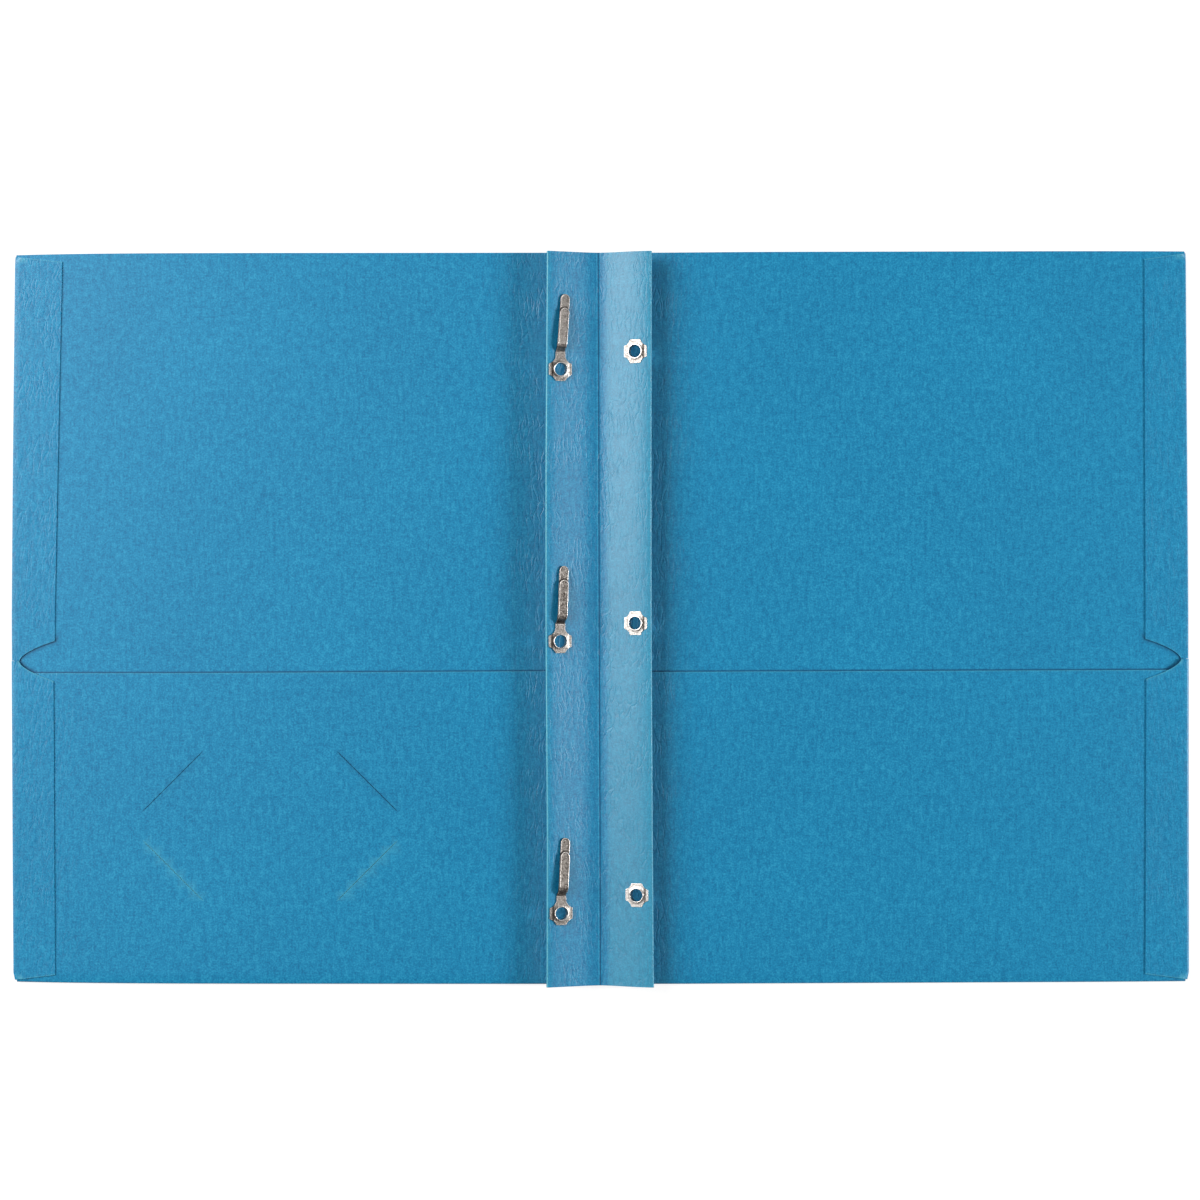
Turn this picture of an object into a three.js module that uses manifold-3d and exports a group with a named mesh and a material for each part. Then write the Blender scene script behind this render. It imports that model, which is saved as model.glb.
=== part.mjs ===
// Two-pocket folder of embossed cover stock with three double-leg metal fasteners, lying open.
//
// Frame: millimetres. X runs to the right across the open folder, Y towards its top edge, Z up.
// The origin is under the middle of the spine, half way up the folder, at the height of the table.
// The left half is the front cover and the right half is the back cover.
//
// The folder is one die-cut sheet. The two covers lie flat. At the spine the sheet turns up and
// back on itself into two binding flaps, each of two plies, which stand up in a shallow V.
// A pocket folds up from the bottom edge of each cover. A side flap folds in from the outer edge,
// onto the cover in its upper part and onto the pocket in its lower part, and is glued down.

import * as THREE from "three";
import { mergeVertices } from "three/addons/utils/BufferGeometryUtils.js";
import Module from "manifold-3d";

const wasm = await Module();
wasm.setup();

// The sheet and the covers
const coverWidth = 234.95;
const coverHeight = 292.1;
const sheetThickness = 0.4;
const glueThickness = 0.1;

// The pockets
const pocketHeight = 125.0;
const pocketRoom = 0.6;
const pocketSpineInset = 4.0;
const pocketEdgeClearance = 0.5;

// The four slits of the card holder, in the front pocket only
const cardFromSpine = 131.8;
const cardFromBottom = 63.2;
const slitSpacingX = 77.8;
const slitSpacingY = 35.8;
const slitLength = 34.5;
const slitWidth = 0.3;

// The side flaps and their thumb notch
const sideFlapWidth = 17.5;
const sideFlapFoldInset = 0.8;
const sideFlapEndInset = 3.2;
const notchFromBottom = 129.0;
const notchHalfHeight = 8.0;
const notchFoldMargin = 3.1;
const notchCurve = 1.7;
const notchSteps = 8;
const creaseGap = 0.3;
const glueMargin = 1.5;

// The spine and the binding flaps
const bindingFlapWidth = 22.2;
const bindingFlapTilt = 18.8;
const spineLift = 0.1;
const foldClearance = 0.15;
const plyGap = 0.3;
const pieceGap = 0.3;

// The holes that the fasteners and washers are riveted in
const holeSpacing = 107.95;
const holeOffset = -1.9;
const prongHoleFromSpine = 16.5;
const washerHoleFromSpine = 15.5;
const prongRingBelowHole = 7.2;

// The stamped metal of the prong bases, legs and washers
const metalThickness = 0.4;
const tabReach = 4.75;
const tabWidth = 4.8;
const tabHollow = 2.9;
const neckWidth = 4.05;
const neckStart = 4.7;
const riserStart = 7.0;
const riserLength = 2.1;
const riserHeight = 1.4;
const riserSteps = 8;

// The legs
const legWidth = 3.9;
const longLegReach = 20.6;
const shortLegReach = 15.1;
const shortLegStart = 1.0;
const legGap = 0.25;
const crownReach = 1.3;
const crownRise = 0.12;
const tipDrop = 1.3;
const legLeans = { top: 4.0, middle: 3.0, bottom: 4.0 };

// The eyelets
const eyeletBore = 4.8;
const eyeletWall = 0.25;
const eyeletClearance = 0.25;
const eyeletLipWidth = 0.7;
const eyeletLipHeight = 0.35;
const eyeletFlangeWidth = 1.6;
const eyeletFlangeHeight = 0.3;

// Smoothness of round stretches
const bendSteps = 6;
const roundSteps = 24;

// Heights of the layers on a cover, and the outer radius of each fold that reaches them
const pocketUnderside = sheetThickness + pocketRoom;
const pocketFace = pocketUnderside + sheetThickness;
const lowerFlapUnderside = pocketFace + glueThickness;
const upperFlapUnderside = sheetThickness + glueThickness;
const pocketBend = (pocketUnderside + sheetThickness) / 2;
const lowerFlapBend = (lowerFlapUnderside + sheetThickness) / 2;
const upperFlapBend = (upperFlapUnderside + sheetThickness) / 2;

// Places on the page
const topEdge = coverHeight / 2;
const bottomEdge = -coverHeight / 2;
const notchLevel = bottomEdge + notchFromBottom;
const pocketOuterEdge = coverWidth - lowerFlapBend - pocketEdgeClearance;

// Heights in a binding flap, measured square to it from its spine fold
const underPlyLow = foldClearance;
const underPlyHigh = underPlyLow + sheetThickness;
const topPlyLow = underPlyHigh + plyGap;
const topPlyHigh = topPlyLow + sheetThickness;
const flapBend = (topPlyHigh - underPlyLow) / 2;
const centreFoldLift = topPlyHigh + foldClearance;
const plateLow = topPlyHigh + pieceGap;
const plateHigh = plateLow + metalThickness;
const hingeHeight = plateLow + metalThickness / 2 + riserHeight;
const hingeFromRing = riserStart + riserLength + pieceGap;

// The spine: where each cover ends, and the line that each binding flap folds about
const tilt = THREE.MathUtils.degToRad(bindingFlapTilt);
const spineFoldHeight = pocketFace + spineLift;
const spineFoldX = centreFoldLift * Math.sin(tilt);
const spineCurl = spineFoldHeight - foldClearance;
const curlCentreX = spineFoldX + foldClearance + spineCurl;

// Radii of an eyelet, and of the holes that it passes through
const boreRadius = eyeletBore / 2;
const barrelRadius = boreRadius + eyeletWall;
const holeRadius = barrelRadius + eyeletClearance;

const coverStock = { color: 0x2f8ab4, roughness: 0.82, metalness: 0.0 };
const nickelSteel = { color: 0xb8b3aa, roughness: 0.32, metalness: 1.0 };
const driedGlue = { color: 0xe4dcc4, roughness: 0.5, metalness: 0.0 };

const halves = [
  { name: "front", side: -1 },
  { name: "back", side: 1 },
];
const rows = [
  { name: "top", y: holeOffset + holeSpacing },
  { name: "middle", y: holeOffset },
  { name: "bottom", y: holeOffset - holeSpacing },
];

// Solids and cuts

function toSolid(geometry) {
  const bare = geometry.clone();
  bare.deleteAttribute("normal");
  bare.deleteAttribute("uv");
  const merged = mergeVertices(bare, 1e-5);
  return new wasm.Manifold(
    new wasm.Mesh({
      numProp: 3,
      vertProperties: new Float32Array(merged.attributes.position.array),
      triVerts: new Uint32Array(merged.index.array),
    }),
  );
}

function toGeometry(solid) {
  const mesh = solid.getMesh();
  const geometry = new THREE.BufferGeometry();
  geometry.setAttribute("position", new THREE.BufferAttribute(mesh.vertProperties, 3));
  geometry.setIndex(new THREE.BufferAttribute(mesh.triVerts, 1));
  return geometry;
}

function cut(geometry, cutters) {
  let solid = toSolid(geometry);
  for (const cutter of cutters) {
    solid = solid.subtract(toSolid(cutter));
  }
  return toGeometry(solid);
}

function join(first, second) {
  return toGeometry(toSolid(first).add(toSolid(second)));
}

function keepInside(geometry, limit) {
  return toGeometry(toSolid(geometry).intersect(toSolid(limit)));
}

// Profiles are lists of points. A profile's first coordinate is turned by sign for the mirrored half.

function shapeOf(points, sign = 1) {
  return new THREE.Shape(points.map(([a, b]) => new THREE.Vector2(sign * a, b)));
}

function arc(centreA, centreB, radius, fromDegrees, toDegrees) {
  const points = [];
  for (let step = 0; step <= bendSteps; step += 1) {
    const angle = THREE.MathUtils.degToRad(fromDegrees + ((toDegrees - fromDegrees) * step) / bendSteps);
    points.push([centreA + radius * Math.cos(angle), centreB + radius * Math.sin(angle)]);
  }
  return points;
}

// A sheet folded back on itself: out to foldAt round a bend, then back to panelEnd as the upper panel.
function foldedProfile(foldAt, panelEnd, low, bend) {
  const bendAt = foldAt - bend;
  const high = low + 2 * bend;
  return [
    ...arc(bendAt, low + bend, bend, -90, 90),
    [panelEnd, high],
    [panelEnd, high - sheetThickness],
    ...arc(bendAt, low + bend, bend - sheetThickness, 90, -90),
  ];
}

function extrude(shape, depth) {
  return new THREE.ExtrudeGeometry(shape, { depth, bevelEnabled: false, curveSegments: bendSteps });
}

// A profile in X and Z, drawn out along Y, centred on Y = 0.
function alongY(shape, length) {
  return extrude(shape, length).rotateX(Math.PI / 2).translate(0, length / 2, 0);
}

// A profile in Y and Z, drawn out along X, centred on X = 0.
function alongX(shape, width) {
  const basis = new THREE.Matrix4().makeBasis(
    new THREE.Vector3(0, 1, 0),
    new THREE.Vector3(0, 0, 1),
    new THREE.Vector3(1, 0, 0),
  );
  return extrude(shape, width).applyMatrix4(basis).translate(-width / 2, 0, 0);
}

// An outline in X and Y, drawn out along Z between two heights.
function alongZ(shape, low, high) {
  return extrude(shape, high - low).translate(0, 0, low);
}

function block(x0, x1, y0, y1, z0, z1) {
  const box = new THREE.BoxGeometry(Math.abs(x1 - x0), Math.abs(y1 - y0), Math.abs(z1 - z0));
  return box.translate((x0 + x1) / 2, (y0 + y1) / 2, (z0 + z1) / 2);
}

function rod(x, y, z0, z1, radius) {
  const cylinder = new THREE.CylinderGeometry(radius, radius, z1 - z0, roundSteps);
  return cylinder.rotateX(Math.PI / 2).translate(x, y, (z0 + z1) / 2);
}

// The covers

function coverPanel(side) {
  const profile = [
    [curlCentreX, 0],
    [coverWidth - upperFlapBend, 0],
    [coverWidth - upperFlapBend, sheetThickness],
    [curlCentreX, sheetThickness],
    ...arc(curlCentreX, spineCurl, spineCurl - sheetThickness, 270, 180).slice(1),
    ...arc(curlCentreX, spineCurl, spineCurl, 180, 270).slice(0, -1),
  ];
  const above = 2 * sheetThickness;
  const pocketFold = block(
    side * pocketSpineInset, side * (coverWidth + above),
    bottomEdge - above, bottomEdge + pocketBend,
    -above, above,
  );
  const lowerFlapFold = block(
    side * (coverWidth - lowerFlapBend), side * (coverWidth + above),
    bottomEdge - above, notchLevel,
    -above, above,
  );
  return cut(alongY(shapeOf(profile, side), coverHeight), [pocketFold, lowerFlapFold]);
}

// The pockets

function pocketPanel(side) {
  const profile = foldedProfile(-bottomEdge, -bottomEdge - pocketHeight, 0, pocketBend);
  const width = pocketOuterEdge - pocketSpineInset;
  const middle = (pocketOuterEdge + pocketSpineInset) / 2;
  return alongX(shapeOf(profile, -1), width).translate(side * middle, 0, 0);
}

function cardSlits(side) {
  const slits = [];
  for (const right of [-1, 1]) {
    for (const up of [-1, 1]) {
      const slit = block(-slitLength / 2, slitLength / 2, -slitWidth / 2, slitWidth / 2, 0, 2 * pocketFace);
      slit.rotateZ((-right * up * Math.PI) / 4);
      const x = side * cardFromSpine + (right * slitSpacingX) / 2;
      const y = bottomEdge + cardFromBottom + (up * slitSpacingY) / 2;
      slits.push(slit.translate(x, y, pocketUnderside / 2));
    }
  }
  return slits;
}

// The side flaps

// The notch's edge on one side of its middle, from the apex near the fold to the flap's inner edge.
function notchEdge(direction) {
  const depth = sideFlapWidth - notchFoldMargin;
  const points = [];
  for (let step = 0; step <= notchSteps; step += 1) {
    const share = step / notchSteps;
    const y = Math.max(share * notchHalfHeight, creaseGap / 2);
    const x = coverWidth - notchFoldMargin - depth * share ** notchCurve;
    points.push([x, notchLevel + direction * y]);
  }
  return points;
}

// The flap's outline on the page, from its fold inwards. The upper flap lies above the notch.
function sideFlapOutline(direction) {
  const beyond = coverWidth + sheetThickness;
  const endEdge = direction > 0 ? topEdge : bottomEdge;
  return [
    [beyond, endEdge - direction * sideFlapFoldInset],
    [beyond, notchLevel + (direction * creaseGap) / 2],
    ...notchEdge(direction),
    [coverWidth - sideFlapWidth, endEdge - direction * sideFlapEndInset],
    [coverWidth, endEdge - direction * sideFlapFoldInset],
  ];
}

function sideFlap(side, direction, bend) {
  const profile = foldedProfile(coverWidth, coverWidth - sideFlapWidth, 0, bend);
  const folded = alongY(shapeOf(profile, side), coverHeight);
  const outline = shapeOf(sideFlapOutline(direction), side);
  return keepInside(folded, alongZ(outline, -sheetThickness, 2 * lowerFlapUnderside));
}

function glueFilm(side, direction, bend, underside) {
  const endEdge = direction > 0 ? topEdge : bottomEdge;
  const farEnd = endEdge - direction * (sideFlapEndInset + glueMargin);
  const notchEnd = notchLevel + direction * (notchHalfHeight + glueMargin);
  const inner = side * (coverWidth - sideFlapWidth + glueMargin);
  const outer = side * (coverWidth - bend - glueMargin);
  return block(inner, outer, farEnd, notchEnd, underside - glueThickness, underside);
}

// The binding flaps, each drawn in its own frame: X from the spine fold, Z square to the flap.

function rivetHoles(side, below) {
  const across = side < 0 ? -prongHoleFromSpine : washerHoleFromSpine;
  return rows.map((row) => rod(across, row.y - below, -topPlyHigh, 2 * topPlyHigh, holeRadius));
}

function ply(side, ringDrop, low) {
  const outerEnd = bindingFlapWidth - flapBend - pieceGap;
  const profile = [
    [foldClearance, low],
    [outerEnd, low],
    [outerEnd, low + sheetThickness],
    [foldClearance, low + sheetThickness],
  ];
  return cut(alongY(shapeOf(profile, side), coverHeight), rivetHoles(side, ringDrop));
}

// The flap's outer edge, where the sheet turns over from the under ply to the top ply.
function outerFold(side) {
  const bendAt = bindingFlapWidth - flapBend;
  const middle = underPlyLow + flapBend;
  const profile = [
    ...arc(bendAt, middle, flapBend, -90, 90),
    ...arc(bendAt, middle, flapBend - sheetThickness, 90, -90),
  ];
  return alongY(shapeOf(profile, side), coverHeight);
}

// The metal pieces, each drawn round its own hole

// One tab pointing along +X and the hollowed corner that follows it, going anticlockwise.
function tabAndCorner(shape, turn, nextHalfWidth, nextReach) {
  const place = (a, b) => new THREE.Vector2(a, b).rotateAround(new THREE.Vector2(0, 0), turn);
  const half = tabWidth / 2;
  const tabEnd = place(tabReach, half);
  const hollow = place(tabHollow, tabHollow);
  const next = place(nextHalfWidth, nextReach);
  shape.lineTo(tabEnd.x, tabEnd.y);
  shape.quadraticCurveTo(hollow.x, hollow.y, next.x, next.y);
}

function washer() {
  const shape = new THREE.Shape();
  shape.moveTo(tabReach, -tabWidth / 2);
  for (let quarter = 0; quarter < 4; quarter += 1) {
    tabAndCorner(shape, (quarter * Math.PI) / 2, tabWidth / 2, tabReach);
  }
  const plate = alongZ(shape, plateLow, plateHigh);
  return cut(plate, [rod(0, 0, 0, 2 * plateHigh, holeRadius)]);
}

// The riser leaves the neck level, climbs in an S and ends level, one gap short of the legs' hinge.
function riserProfile() {
  const upper = [];
  const lower = [];
  for (let step = 0; step <= riserSteps; step += 1) {
    const share = step / riserSteps;
    const run = riserStart + share * riserLength;
    const rise = riserHeight * share * share * (3 - 2 * share);
    const slope = (riserHeight * 6 * share * (1 - share)) / riserLength;
    const across = metalThickness / 2 / Math.hypot(1, slope);
    upper.push([run - slope * across, rise + across]);
    lower.push([run + slope * across, rise - across]);
  }
  return [...upper, ...lower.reverse()].map(([y, z]) => [y, z + plateLow + metalThickness / 2]);
}

function prongBase() {
  const shape = new THREE.Shape();
  const neckHalf = neckWidth / 2;
  shape.moveTo(tabReach, -tabWidth / 2);
  tabAndCorner(shape, 0, neckHalf, neckStart);
  shape.lineTo(neckHalf, riserStart);
  shape.lineTo(-neckHalf, riserStart);
  shape.lineTo(-neckHalf, neckStart);
  shape.quadraticCurveTo(-tabHollow, tabHollow, -tabReach, tabWidth / 2);
  for (const quarter of [2, 3]) {
    const turn = (quarter * Math.PI) / 2;
    tabAndCorner(shape, turn, tabWidth / 2, tabReach);
  }
  const plate = cut(alongZ(shape, plateLow, plateHigh), [rod(0, 0, 0, 2 * plateHigh, holeRadius)]);
  return join(plate, alongX(shapeOf(riserProfile()), neckWidth));
}

// Height of the long leg's middle above the hinge, at a distance along the leg.
function legRise(along) {
  if (along < crownReach) {
    return crownRise * Math.sin((Math.PI / 2) * (along / crownReach));
  }
  const share = (along - crownReach) / (longLegReach - crownReach);
  return crownRise - share * (crownRise + tipDrop);
}

// A flat leg from start to reach, with a round tip, lifted by the given height.
function leg(start, reach, lift) {
  const stations = [start, (start + crownReach) / 2, crownReach, reach];
  const half = metalThickness / 2;
  const upper = stations.map((along) => [along, legRise(along) + lift + half]);
  const lower = stations.map((along) => [along, legRise(along) + lift - half]);
  const strip = alongX(shapeOf([...upper, ...lower.reverse()]), legWidth);
  const radius = legWidth / 2;
  const outline = new THREE.Shape();
  outline.moveTo(-radius, 0);
  outline.lineTo(radius, 0);
  outline.lineTo(radius, reach - radius);
  outline.absarc(0, reach - radius, radius, 0, Math.PI, false);
  return keepInside(strip, alongZ(outline, -longLegReach, longLegReach));
}

// A hollow eyelet: a wide flange below, a barrel through both plies and the plate, a rolled lip above.
function eyelet() {
  const flangeLow = underPlyLow - eyeletClearance - eyeletFlangeHeight;
  const flangeHigh = flangeLow + eyeletFlangeHeight;
  const lipLow = plateHigh + eyeletClearance;
  const lipHigh = lipLow + eyeletLipHeight;
  const flangeRadius = boreRadius + eyeletFlangeWidth;
  const lipRadius = boreRadius + eyeletLipWidth;
  const roll = eyeletLipHeight / 2;
  const profile = [
    [boreRadius, flangeLow],
    [flangeRadius, flangeLow],
    [flangeRadius, flangeHigh],
    [barrelRadius, flangeHigh],
    [barrelRadius, lipLow],
    [lipRadius, lipLow],
    [lipRadius, lipHigh - roll],
    [lipRadius - roll, lipHigh],
    [boreRadius + roll, lipHigh],
    [boreRadius, lipHigh - roll],
    [boreRadius, flangeLow],
  ];
  const points = profile.map(([radius, height]) => new THREE.Vector2(radius, height));
  return new THREE.LatheGeometry(points, roundSteps).rotateX(Math.PI / 2);
}

// Assembly

function addPiece(group, name, geometry, finish) {
  const piece = new THREE.Mesh(geometry, new THREE.MeshStandardMaterial(finish));
  piece.name = name;
  group.add(piece);
}

function addCover(folder, name, side) {
  const pocket = side < 0 ? cut(pocketPanel(side), cardSlits(side)) : pocketPanel(side);
  addPiece(folder, `${name}_cover_panel`, coverPanel(side), coverStock);
  addPiece(folder, `${name}_pocket_panel`, pocket, coverStock);
  const flaps = [
    { level: "upper", direction: 1, bend: upperFlapBend, underside: upperFlapUnderside },
    { level: "lower", direction: -1, bend: lowerFlapBend, underside: lowerFlapUnderside },
  ];
  for (const { level, direction, bend, underside } of flaps) {
    addPiece(folder, `${name}_side_flap_${level}`, sideFlap(side, direction, bend), coverStock);
    addPiece(folder, `${name}_side_glue_${level}`, glueFilm(side, direction, bend, underside), driedGlue);
  }
}

function addBindingFlap(folder, name, side) {
  const flap = new THREE.Group();
  flap.position.set(side * spineFoldX, 0, spineFoldHeight);
  flap.rotation.y = -side * tilt;
  folder.add(flap);
  const ringDrop = side < 0 ? prongRingBelowHole : 0;
  addPiece(flap, `${name}_flap_under_ply`, ply(side, ringDrop, underPlyLow), coverStock);
  addPiece(flap, `${name}_flap_top_ply`, ply(side, ringDrop, topPlyLow), coverStock);
  addPiece(flap, `${name}_flap_outer_fold`, outerFold(side), coverStock);
  return flap;
}

function addFastener(flap, row) {
  const base = new THREE.Group();
  base.position.set(-prongHoleFromSpine, row.y - prongRingBelowHole, 0);
  flap.add(base);
  addPiece(base, `prong_base_${row.name}`, prongBase(), nickelSteel);
  addPiece(base, `base_eyelet_${row.name}`, eyelet(), nickelSteel);

  const legs = new THREE.Group();
  legs.position.set(0, hingeFromRing, hingeHeight);
  legs.rotation.z = -THREE.MathUtils.degToRad(legLeans[row.name]);
  base.add(legs);
  const shortLegLift = metalThickness + legGap;
  addPiece(legs, `long_prong_${row.name}`, leg(pieceGap, longLegReach, 0), nickelSteel);
  addPiece(legs, `short_prong_${row.name}`, leg(shortLegStart, shortLegReach, shortLegLift), nickelSteel);
}

function addWasher(flap, row) {
  const seat = new THREE.Group();
  seat.position.set(washerHoleFromSpine, row.y, 0);
  flap.add(seat);
  addPiece(seat, `washer_${row.name}`, washer(), nickelSteel);
  addPiece(seat, `washer_eyelet_${row.name}`, eyelet(), nickelSteel);
}

const folder = new THREE.Group();
for (const { name, side } of halves) {
  addCover(folder, name, side);
  const flap = addBindingFlap(folder, name, side);
  for (const row of rows) {
    if (side < 0) {
      addFastener(flap, row);
    } else {
      addWasher(flap, row);
    }
  }
}

export default folder;
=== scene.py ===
# %% [markdown]
# # A two-pocket paper folder, lying open
# The folder is one die-cut sheet of dyed cover stock. Each cover has a deep pocket along its
# bottom edge, held at the outer edge by two glued side flaps with a notch between them. In the
# middle the sheet is gathered into two binding flaps that stand up as a shallow valley, and
# three bendable steel prongs and three steel washers are riveted through them.
# The steps below cut the sheet flat, fold it, stamp the metal, and then light the folder as on
# a white table.

import math

import bmesh
import bpy
import numpy as np
from mathutils import Matrix, Vector
from mathutils.geometry import delaunay_2d_cdt


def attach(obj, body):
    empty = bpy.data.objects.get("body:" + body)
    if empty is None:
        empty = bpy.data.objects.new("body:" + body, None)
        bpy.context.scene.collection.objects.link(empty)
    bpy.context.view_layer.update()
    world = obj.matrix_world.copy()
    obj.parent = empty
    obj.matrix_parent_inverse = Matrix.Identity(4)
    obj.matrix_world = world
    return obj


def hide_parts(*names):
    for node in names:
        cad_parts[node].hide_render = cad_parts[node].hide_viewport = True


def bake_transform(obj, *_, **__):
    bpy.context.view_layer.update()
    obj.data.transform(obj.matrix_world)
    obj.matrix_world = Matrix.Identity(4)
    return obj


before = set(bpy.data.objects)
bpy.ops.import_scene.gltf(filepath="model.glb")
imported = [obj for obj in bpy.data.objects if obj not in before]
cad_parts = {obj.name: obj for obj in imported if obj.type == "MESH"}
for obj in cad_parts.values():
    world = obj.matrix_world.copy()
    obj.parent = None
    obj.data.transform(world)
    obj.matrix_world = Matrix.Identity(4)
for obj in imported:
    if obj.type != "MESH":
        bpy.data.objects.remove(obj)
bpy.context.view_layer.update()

# %% [markdown]
# ## The camera
# The folder was photographed from straight above, a little over a metre away. A long lens at
# that distance keeps the covers square and still lets the raised binding flaps lean outwards.
# The camera comes first, so that everything after it is judged in its frame.

# %% Camera
CAMERA_PLACE = (0.0, 0.0073, 1.2)
CAMERA_LENS = 90.09
SENSOR_WIDTH = 36.0

camera_data = bpy.data.cameras.new("overhead_camera")
camera_data.lens = CAMERA_LENS
camera_data.sensor_width = SENSOR_WIDTH
camera_data.clip_start = 0.01
camera_data.clip_end = 20.0
camera = bpy.data.objects.new("overhead_camera", camera_data)
camera.location = CAMERA_PLACE
bpy.context.scene.collection.objects.link(camera)
bpy.context.scene.camera = camera
print("camera looks down from", CAMERA_PLACE)

# %% [markdown]
# ## Sizes
# All sizes are in millimetres, as in the drawing of the folder, and become metres when a piece
# is made. U is the distance outwards from the spine, for the front cover and the back cover
# alike. The middle of the sheet's thickness is what gets folded, and the thickness comes last.

# %% Sizes
MM = 0.001
STOCK = 0.4
COVER_TOP = 146.05
PANEL_BOTTOM = -145.35
SHEET_MIDDLE = 0.2
NOTCH_LEVEL = -17.05
NOTCH_HALF = 8.0
NOTCH_APEX = 231.85
NOTCH_DEPTH = 14.4
NOTCH_CURVE = 1.7
SIDE_FLAP_INNER = 217.45
SIDE_EDGE = 234.95
UPPER_FOLD = 234.5
UPPER_BEND = 0.25
LOWER_FOLD = 234.0
LOWER_BEND = 0.75
POCKET_BEND = 0.5
POCKET_TOP = -21.05
POCKET_INNER = 4.0
POCKET_OUTER = 233.5
CURL_START = 1.951
FLAP_TILT = 18.8
SPINE_X = 0.4512
SPINE_Z = 1.5
ROWS = (106.05, -1.9, -109.85)
RING_DROP = 7.2
PRONG_FROM_SPINE = 16.5
WASHER_FROM_SPINE = 15.5
RIVET_RADIUS = 2.75

tilt = math.radians(FLAP_TILT)
print("notch at", NOTCH_LEVEL, "rows at", ROWS)

# %% [markdown]
# ## Folding a line
# A folded sheet keeps its length, so its section is a walk: go straight for a while, turn
# through an arc, go straight again. The walk gives the place in the section for any distance
# along the flat sheet. This is how a fold is worked out for a real blank too, and it keeps the
# fibres of the paper evenly spaced through each fold.

# %% Walk along a section
def walk(start, heading, moves, distance):
    """The place in a section after going a distance along its moves."""
    x, z = start
    facing = math.radians(heading)
    left = distance
    for length, radius, angle in moves:
        step = min(left, length)
        if radius == 0.0:
            x += step * math.cos(facing)
            z += step * math.sin(facing)
        else:
            turned = math.copysign(step / radius, angle)
            reach = math.copysign(radius, angle)
            x += reach * (math.sin(facing + turned) - math.sin(facing))
            z -= reach * (math.cos(facing + turned) - math.cos(facing))
            facing += turned
        left -= step
        if left <= 0.0:
            break
    return x, z


def go(length):
    return (length, 0.0, 0.0)


def turn(radius, angle):
    return (radius * math.radians(abs(angle)), radius, angle)


def total_length(moves):
    return sum(length for length, radius, angle in moves)


# %% The folds of a cover
CURL_BEND = 1.15
SPINE_BEND = 0.89
UNDER_PLY_LENGTH = 20.5

spine_moves = [
    turn(CURL_BEND, -90.0),
    turn(SPINE_BEND, -(90.0 - FLAP_TILT)),
    go(UNDER_PLY_LENGTH),
]
upper_moves = [turn(UPPER_BEND, 180.0), go(UPPER_FOLD - SIDE_FLAP_INNER)]
lower_moves = [turn(LOWER_BEND, 180.0), go(LOWER_FOLD - SIDE_FLAP_INNER)]
pocket_moves = [turn(POCKET_BEND, -180.0), go(POCKET_TOP - PANEL_BOTTOM)]

SPINE_LENGTH = total_length(spine_moves)
UPPER_LENGTH = total_length(upper_moves)
LOWER_LENGTH = total_length(lower_moves)
POCKET_LENGTH = total_length(pocket_moves)


def fold_cover(b, t):
    """Folds a point of the flat cover blank: B runs outwards, T runs up the page."""
    if b < CURL_START:
        u, z = walk((CURL_START, SHEET_MIDDLE), 180.0, spine_moves, CURL_START - b)
        return u, t, z
    if t < PANEL_BOTTOM:
        y, z = walk((PANEL_BOTTOM, SHEET_MIDDLE), 180.0, pocket_moves, PANEL_BOTTOM - t)
        return b, y, z
    if t > NOTCH_LEVEL and b > UPPER_FOLD:
        u, z = walk((UPPER_FOLD, SHEET_MIDDLE), 0.0, upper_moves, b - UPPER_FOLD)
        return u, t, z
    if t < NOTCH_LEVEL and b > LOWER_FOLD:
        u, z = walk((LOWER_FOLD, SHEET_MIDDLE), 0.0, lower_moves, b - LOWER_FOLD)
        return u, t, z
    return b, t, SHEET_MIDDLE


print("binding flap ends at", [round(v, 2) for v in fold_cover(CURL_START - SPINE_LENGTH, 0.0)])
print("pocket ends at", [round(v, 2) for v in fold_cover(100.0, PANEL_BOTTOM - POCKET_LENGTH)])

# %% [markdown]
# ## How the covers lie
# Real card never lies perfectly square. The corners are pulled in a little, the back cover has
# turned by a quarter of a degree, and a shallow wave runs through each cover. Every layer of a
# cover goes through the same function, so the layers never pass through each other.

# %% A shallow wave
WAVE_HEIGHT = 0.22
WAVE_LIFT = 1.6
WAVE_REACHES = (41.0, 57.0)
WAVE_PHASES = (0.6, -0.4)
CROSS_WAVE_SHARE = 0.6
CROSS_WAVE_SLOPE = 1.4
CROSS_WAVE_REACH = 33.0


def smooth(value, low, high):
    """Climbs from 0 at low to 1 at high, and is level at both ends."""
    share = min(1.0, max(0.0, (value - low) / (high - low)))
    return share * share * (3.0 - 2.0 * share)


def wave(x, y):
    """A shallow swell of the card, never below the table."""
    rise = math.sin(x / WAVE_REACHES[0] + WAVE_PHASES[0])
    rise *= math.sin(y / WAVE_REACHES[1] + WAVE_PHASES[1])
    rise += CROSS_WAVE_SHARE * math.sin((x + CROSS_WAVE_SLOPE * y) / CROSS_WAVE_REACH)
    return WAVE_HEIGHT * (WAVE_LIFT + rise)


print("wave at the middle of a cover", round(wave(SIDE_EDGE / 2.0, 0.0), 3))

# %% Lay a point of a cover
COVER_WIDTH = 235.0
CORNER_PULLS = {
    (-1, 1): (1.4, 1.1),
    (-1, -1): (0.8, 1.0),
    (1, 1): (0.45, 0.5),
    (1, -1): (0.5, 0.27),
}
PULL_POWER = 1.1
EVEN_PULL = 0.23
CORNER_PULL = 0.77
CORNER_POWER = 8
BACK_TURN = 0.004
# Stretches of U over which the pull, the turn and the wave grow from nothing to whole
PULLED = (90.0, 235.0)
TURNED = (4.0, 60.0)
WAVED = (12.0, 70.0)


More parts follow.
